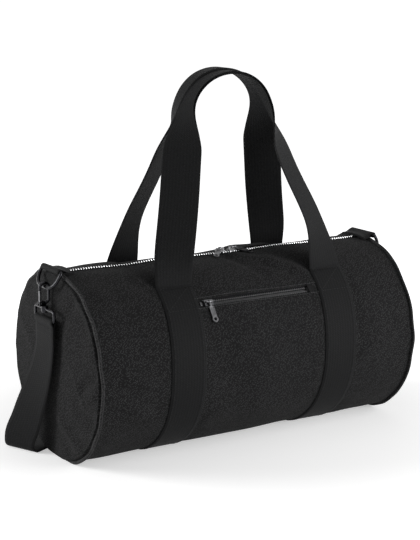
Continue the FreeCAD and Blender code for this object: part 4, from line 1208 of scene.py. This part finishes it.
def lip(name, angle, width, height, nodes):
    """A folded cloth edge along the pocket slit: half an oval on the skin, fuller at the slit."""
    x = np.linspace(*POCKET_SPAN, LIP_STEPS)
    turn = turns(LIP_SIDES)[None, :]
    share = (1 - np.cos(turn)) / 2
    theta = angle + share * width / sizes().barrel_radius
    lifted, swing = LIP_ROUND_SHARES
    full, loss = LIP_FULL_SHARES
    lift = height * (lifted + swing * np.sin(turn)) * (full - loss * share) - LIP_SINK
    uv = grid(x, np.linspace(0, 2 * abs(width), LIP_SIDES + 1))
    tube_piece(name, skin(x[:, None], theta, lift), uv, "cloth", nodes)


def end_tab(slit):
    """A short strip of webbing across the end of the pocket's chain."""
    steps, columns = END_TAB_GRID
    above, below = END_TAB_SHARES
    theta = np.linspace(POCKET_ANGLE - slit * above, POCKET_ANGLE + slit * below, columns)[None, :]
    mid = skin(np.linspace(*END_TAB, steps)[:, None], theta, END_TAB_LIFT)
    strip_piece("pocket_end_tab", mid, outward(theta), END_TAB_THICKNESS, "webbing", ["pocket_zip_end_tab"])


def pouch():
    """The pocket's bag: a lining layer that swells inwards from its edges by (1 - u^n)(1 - v^n)."""
    s = sizes()
    steps, columns = POUCH_GRID
    x = np.linspace(POCKET_SPAN[LOW] - POUCH_MARGIN, POCKET_SPAN[HIGH] + POUCH_MARGIN, steps)[:, None]
    theta = np.linspace(*POUCH_ANGLES, columns)[None, :]
    u, v = np.linspace(-1, 1, steps)[:, None], np.linspace(-1, 1, columns)[None, :]
    swell = (1 - u ** POUCH_POWER) * (1 - v ** POUCH_POWER)
    steady, swing, bend = POUCH_WAVE
    depth = s.cloth_thickness + POUCH_GAP + POUCH_DEPTH * swell * (steady + swing * np.cos(bend * v))
    radius = s.barrel_radius - depth
    mid = stacked(x, -radius * np.sin(theta), s.axis_height + radius * np.cos(theta))
    strip_piece("pocket_pouch", mid, outward(theta), LINING_THICKNESS, "lining", ["pocket_lining"])


class BAG_OT_ring_tabs(bpy.types.Operator):
    """Folds the webbing tabs round the D-rings at both ends"""
    bl_idname = "bag.ring_tabs"
    bl_label = "Ring tabs and rings"

    def execute(self, context):
        for name, side in SIDES:
            ring_tab(name, side)
            finished_copy(f"{name}_d_ring", "hardware", bevel=0)
        return {"FINISHED"}


def ring_bar(name):
    """Distance out and height of a ring's bar, from its tab's outer corner."""
    outer = edge_of(f"{name}_ring_tab", X, HIGH if name == "right" else LOW)
    return abs(outer) - RING_WRAP, edge_of(f"{name}_ring_tab", Z, HIGH) - RING_WRAP


def ring_tab(name, side):
    """Webbing that runs out over the bar, round it and back under itself; its inner part follows the barrel's
    curve, which drops by the distance from its middle squared over twice the radius."""
    s = sizes()
    bar_x, bar_z = ring_bar(name)
    radius = RING_WRAP - s.webbing_thickness / 2
    inner = (TAB_INNER - bar_x) * np.array(TAB_SHARES)
    swell = np.array((0, 0, TAB_SWELL))
    upper, lower = TAB_LAYERS
    wrap = np.stack([radius * np.cos(TAB_TURNS), radius * np.sin(TAB_TURNS)], axis=-1)
    route = np.concatenate([np.stack([inner, upper + swell], axis=-1), wrap,
                            np.stack([inner, lower - swell], axis=-1)[::-1]])
    route = spline(np.column_stack([route, np.zeros(len(route))]), TAB_STEPS)
    way = unit(np.gradient(route[:, :2], axis=0))
    y = over_width(TAB_COLUMNS) * s.webbing_width
    drop = smooth(-route[:, 0], *TAB_SETTLE)[:, None] * (y ** 2 / (2 * s.barrel_radius))[None, :]
    mid = stacked(side * (bar_x + route[:, :1]), y[None, :], bar_z + route[:, 1:2] - drop)
    normal = stacked(-side * way[:, 1], 0.0, way[:, 0])
    strip_piece(f"{name}_tab_webbing", mid, normal[:, None], s.webbing_thickness, "webbing",
                [f"{name}_ring_tab"])


class BAG_OT_snap_hooks(bpy.types.Operator):
    """Hangs the swivel snap hooks with their gates, pins and bases"""
    bl_idname = "bag.snap_hooks"
    bl_label = "Snap hooks"

    def execute(self, context):
        for name, _ in SIDES:
            finished_copy(f"{name}_hook", "hardware")
            finished_copy(f"{name}_hook_gate", "gate")
            finished_copy(f"{name}_gate_pin", "gate", PIN_EDGE)
            finished_copy(f"{name}_swivel_base", "hardware")
        return {"FINISHED"}


class BAG_OT_shoulder_strap(bpy.types.Operator):
    """Hangs the shoulder strap from its hooks and lays the rest behind the bag"""
    bl_idname = "bag.shoulder_strap"
    bl_label = "Shoulder strap"

    def execute(self, context):
        for name, side in SIDES:
            hanging_strap(name, side)
        floor_run()
        finished_copy("strap_adjuster", "plastic", ADJUSTER_EDGE)
        return {"FINISHED"}


def strap_piece(name, line, across, nodes, body):
    """Webbing along a line: flat across its width direction, with its thickness square to both."""
    s = sizes()
    along = unit(np.gradient(line, axis=0))
    across = square_to(across, along)
    mid = line[:, None] + across[:, None] * (over_width(STRAP_COLUMNS) * s.webbing_width)[None, :, None]
    through = np.cross(along, across)[:, None]
    return strip_piece(name, mid, through, s.webbing_thickness, "webbing", nodes, body)


def strap_bar(name):
    """Distance out and height of the base's lower bar, from the box of the strap's sewn end."""
    low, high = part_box(f"{name}_strap_end")
    return abs(low[X] + high[X]) / 2, high[Z] - BASE_DOWN


def hanging_strap(name, side):
    """A short sewn layer up the inside, round the base's bar and down the outside to the fold on the floor.
    Points are (x, y, z, turn about Z from lying across the bag's end)."""
    half = sizes().webbing_thickness / 2
    bar = np.array(strap_bar(name))
    inner = [(-half, -down) for down in SEWN_SPOTS]
    wrap = np.stack([BASE_WRAP * np.cos(BASE_TURNS), BASE_WRAP * np.sin(BASE_TURNS)], axis=-1)
    outer = [(half, -down) for down in reversed(SEWN_SPOTS)]
    flat = bar + np.concatenate([inner, wrap, outer])
    top = np.column_stack([flat[:, 0], np.zeros(len(flat)), flat[:, 1], np.zeros(len(flat))])
    first = top[-1, :3]
    drift = FALL_SHARES * FALL_SHARES * (2 - FALL_SHARES)
    drop = np.column_stack([first[X] + (STRAP_LOW[X] - first[X]) * drift, STRAP_LOW[Y] * drift,
                            first[Z] + (STRAP_LOW[Z] - first[Z]) * FALL_SHARES,
                            STRAP_TURN * smooth(FALL_SHARES, 0, 1)])
    inward, sunk = 1 - np.cos(FOLD_TURNS), np.sin(FOLD_TURNS)
    fold = STRAP_LOW + STRAP_FOLD * (INWARD * inward[:, None] - UP * sunk[:, None])
    fold = np.column_stack([fold, np.full(len(fold), STRAP_TURN)])
    line = spline(np.concatenate([top, drop, fold]), STRAP_STEPS)
    turn = line[:, 3]
    across = stacked(-side * np.sin(turn), -np.cos(turn), 0.0)
    thing = strap_piece(f"{name}_hanging_strap", line[:, :3] * (side, 1, 1), across,
                        [f"{name}_strap_end", f"{name}_strap_drop"], None)
    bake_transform(thing)


def floor_run():
    """The strap's length behind the bag: flat on the floor, swinging in from each fold and lifted through the
    adjuster."""
    half = sizes().webbing_thickness / 2
    end = STRAP_LOW + STRAP_FOLD * INWARD
    left = np.array([(-end[X], end[Y], half, STRAP_TURN)]
                    + [(-out, back, half + lift, np.radians(turn)) for out, back, lift, turn in RUN_STATIONS])
    right = left[::-1] * (-1, 1, 1, -1)
    line = spline(np.concatenate([left, right]), RUN_STEPS)
    line[:, Z] = np.maximum(line[:, Z], half)
    across = stacked(np.sin(line[:, 3]), -np.cos(line[:, 3]), 0.0)
    strap_piece("strap_floor_webbing", line[:, :3], across, ["strap_floor_run"], "bag")


class BAG_OT_stitching(bpy.types.Operator):
    """Sews the boxed crosses, edge rows and zip rows"""
    bl_idname = "bag.stitching"
    bl_label = "Stitching"

    def execute(self, context):
        s = sizes()
        for name, side in SIDES:
            band_stitching(name, side)
        end = s.half_length - PIPING_WIDTH - SEAM_MARGIN
        edge = np.arcsin(s.zip_gap / s.barrel_radius) + ZIP_ROW_GAP / s.barrel_radius
        stitches("main_zip_stitching", [skin_run((-end, theta), (end, theta), 0)
                                        for theta in (edge, ROUND - edge)])
        slit = WINDOW_HALF / s.barrel_radius
        rows = (POCKET_ANGLE - slit + POCKET_ROWS[0] / s.barrel_radius,
                POCKET_ANGLE + slit + POCKET_ROWS[1] / s.barrel_radius)
        # Pale thread along both slit edges: real stitches, and also a painted highlight of the folded edges
        stitches("pocket_stitching", [skin_run((ROW_SPAN[LOW], theta), (ROW_SPAN[HIGH], theta), WELT_HEIGHT)
                                      for theta in rows], "pale_thread")
        for name, side in SIDES:
            sewn_end(name, side)
        return {"FINISHED"}


def band_stitching(name, side):
    """A boxed cross below each handle's foot, and a row along both edges of the band between them."""
    s = sizes()
    lift = s.webbing_thickness
    near, far = BOX_ANGLES
    half = s.webbing_width / 2 - BOX_INSET
    low, high = side * s.leg_offset - half, side * s.leg_offset + half
    runs = []
    for first, last in ((near, far), (ROUND - near, ROUND - far)):
        corners = ((low, first), (high, first), (high, last), (low, last))
        lines = (*zip(corners, corners[1:] + corners[:1]), corners[0::2], corners[1::2])
        runs += [skin_run(a, b, lift, 1) for a, b in lines]
    runs += [skin_run((x, far), (x, ROUND - far), lift, 1) for x in (low, high)]
    stitches(f"{name}_band_stitching", runs)


def sewn_end(name, side):
    """Two rows across the doubled end of the shoulder strap."""
    s = sizes()
    bar_x, bar_z = strap_bar(name)
    half = s.webbing_width / 2 - BOX_INSET
    runs = []
    for down in SEWN_ROW_SHARES:
        def place(share, z=bar_z - SEWN_LENGTH * down):
            points = stacked(side * (bar_x + s.webbing_thickness), -half + 2 * half * share, z)
            return points, np.broadcast_to(ALONG * side, points.shape)

        runs.append(stitch_run(place, 2 * half))
    stitches(f"{name}_strap_stitching", runs, body=f"{name}_base")


class BAG_OT_stage(bpy.types.Operator):
    """Sets the floor, the soft studio light and the camera"""
    bl_idname = "bag.stage"
    bl_label = "Stage"

    def execute(self, context):
        scene = context.scene
        scene.view_settings.view_transform = "Standard"
        floor()
        studio_world(scene)
        for lamp in LAMPS:
            soft_light(*lamp)
        camera = bpy.data.cameras.new("camera")
        camera.sensor_fit = "HORIZONTAL"
        camera.sensor_width = SENSOR_WIDTH
        camera.lens = CAMERA_LENS
        camera.clip_end = 2 * FLOOR_HALF
        scene.camera = aimed("camera", camera, CAMERA_PLACE, CAMERA_AIM)
        return {"FINISHED"}


def aimed(name, data, place, target):
    """A lamp or camera at its place, turned to its target."""
    thing = bpy.data.objects.new(name, data)
    bpy.context.scene.collection.objects.link(thing)
    thing.location = place
    way = Vector(target) - Vector(place)
    thing.rotation_euler = way.to_track_quat("-Z", "Y").to_euler()
    return thing


def soft_light(name, place, width, power):
    lamp = bpy.data.lights.new(name, "AREA")
    lamp.shape = "DISK"
    lamp.size = width
    lamp.energy = power
    aimed(name, lamp, place, LAMP_AIM)


def seen_directly(tree):
    """1 on rays that show the background as it is: camera, glossy and transmission rays."""
    path = node(tree, "ShaderNodeLightPath", {})
    shiny = maths(tree, "MAXIMUM", path["Is Glossy Ray"], path["Is Transmission Ray"])
    return maths(tree, "MAXIMUM", path["Is Camera Ray"], shiny)


def floor():
    """A wide plain plane; seen directly it has a little glow over its own shade, less near the bag and more
    where the lamps no longer reach, so it reads white but keeps its shadow."""
    corners = np.array(((-1, -1, 0), (1, -1, 0), (1, 1, 0), (-1, 1, 0)), float) * FLOOR_HALF
    mesh = bpy.data.meshes.new("floor")
    mesh.from_pydata(corners.tolist(), [], [(0, 1, 2, 3)])
    material, tree, shader = shade("floor", {
        "Base Color": (*colours().floor, 1), "Roughness": 1.0, "Specular IOR Level": 0.0,
        "Emission Color": (1, 1, 1, 1)})
    away = node(tree, "ShaderNodeVectorMath", {0: object_place(tree)}, operation="LENGTH")["Value"]
    glow = node(tree, "ShaderNodeMapRange", {0: away, 1: GLOW_REACH[0], 2: GLOW_REACH[1], 3: FLOOR_GLOW[0],
                                             4: FLOOR_GLOW[1]}, interpolation_type="SMOOTHSTEP")[0]
    tree.links.new(maths(tree, "MULTIPLY", seen_directly(tree), glow), shader.inputs["Emission Strength"])
    mesh.materials.append(material)
    thing = bpy.data.objects.new("floor", mesh)
    bpy.context.scene.collection.objects.link(thing)


def studio_world(scene):
    """An even pale room: plain light on the object, white where it is seen directly."""
    world = bpy.data.worlds.new("studio")
    scene.world = world
    world.use_nodes = True
    tree = world.node_tree
    strength = node(tree, "ShaderNodeMapRange", {0: seen_directly(tree), 3: ROOM_LIGHT, 4: 1.0})[0]
    background = tree.nodes["Background"]
    background.inputs["Color"].default_value = (1, 1, 1, 1)
    tree.links.new(strength, background.inputs["Strength"])


class BAG_PT_builder(bpy.types.Panel):
    """Lists the bag's sizes, colours and builders"""
    bl_label = "Barrel bag"
    bl_idname = "BAG_PT_builder"
    bl_space_type = "VIEW_3D"
    bl_region_type = "UI"
    bl_category = "Barrel bag"

    def draw(self, context):
        for group in (context.scene.bag_sizes, context.scene.bag_colours):
            for key in group.bl_rna.properties.keys():
                if key not in ("rna_type", "name"):
                    self.layout.prop(group, key)
        for operator in OPERATORS:
            self.layout.operator(operator.bl_idname)


OPERATORS = (BAG_OT_body_cloth, BAG_OT_end_cloths, BAG_OT_body_straps, BAG_OT_handles, BAG_OT_main_zip,
             BAG_OT_front_pocket, BAG_OT_ring_tabs, BAG_OT_snap_hooks, BAG_OT_shoulder_strap,
             BAG_OT_stitching, BAG_OT_stage)
CLASSES = (BagSizes, BagColours, *OPERATORS, BAG_PT_builder)


def register():
    for made in CLASSES:
        bpy.utils.register_class(made)
    bpy.types.Scene.bag_sizes = PointerProperty(type=BagSizes)
    bpy.types.Scene.bag_colours = PointerProperty(type=BagColours)


def unregister():
    del bpy.types.Scene.bag_colours
    del bpy.types.Scene.bag_sizes
    for made in reversed(CLASSES):
        bpy.utils.unregister_class(made)


def main():
    """Builds the bag piece by piece, then the stage."""
    register()
    bpy.ops.bag.body_cloth()
    bpy.ops.bag.end_cloths()
    bpy.ops.bag.body_straps()
    bpy.ops.bag.handles()
    bpy.ops.bag.main_zip()
    bpy.ops.bag.front_pocket()
    bpy.ops.bag.ring_tabs()
    bpy.ops.bag.snap_hooks()
    bpy.ops.bag.shoulder_strap()
    bpy.ops.bag.stitching()
    bpy.ops.bag.stage()


if __name__ == "__main__":
    main()
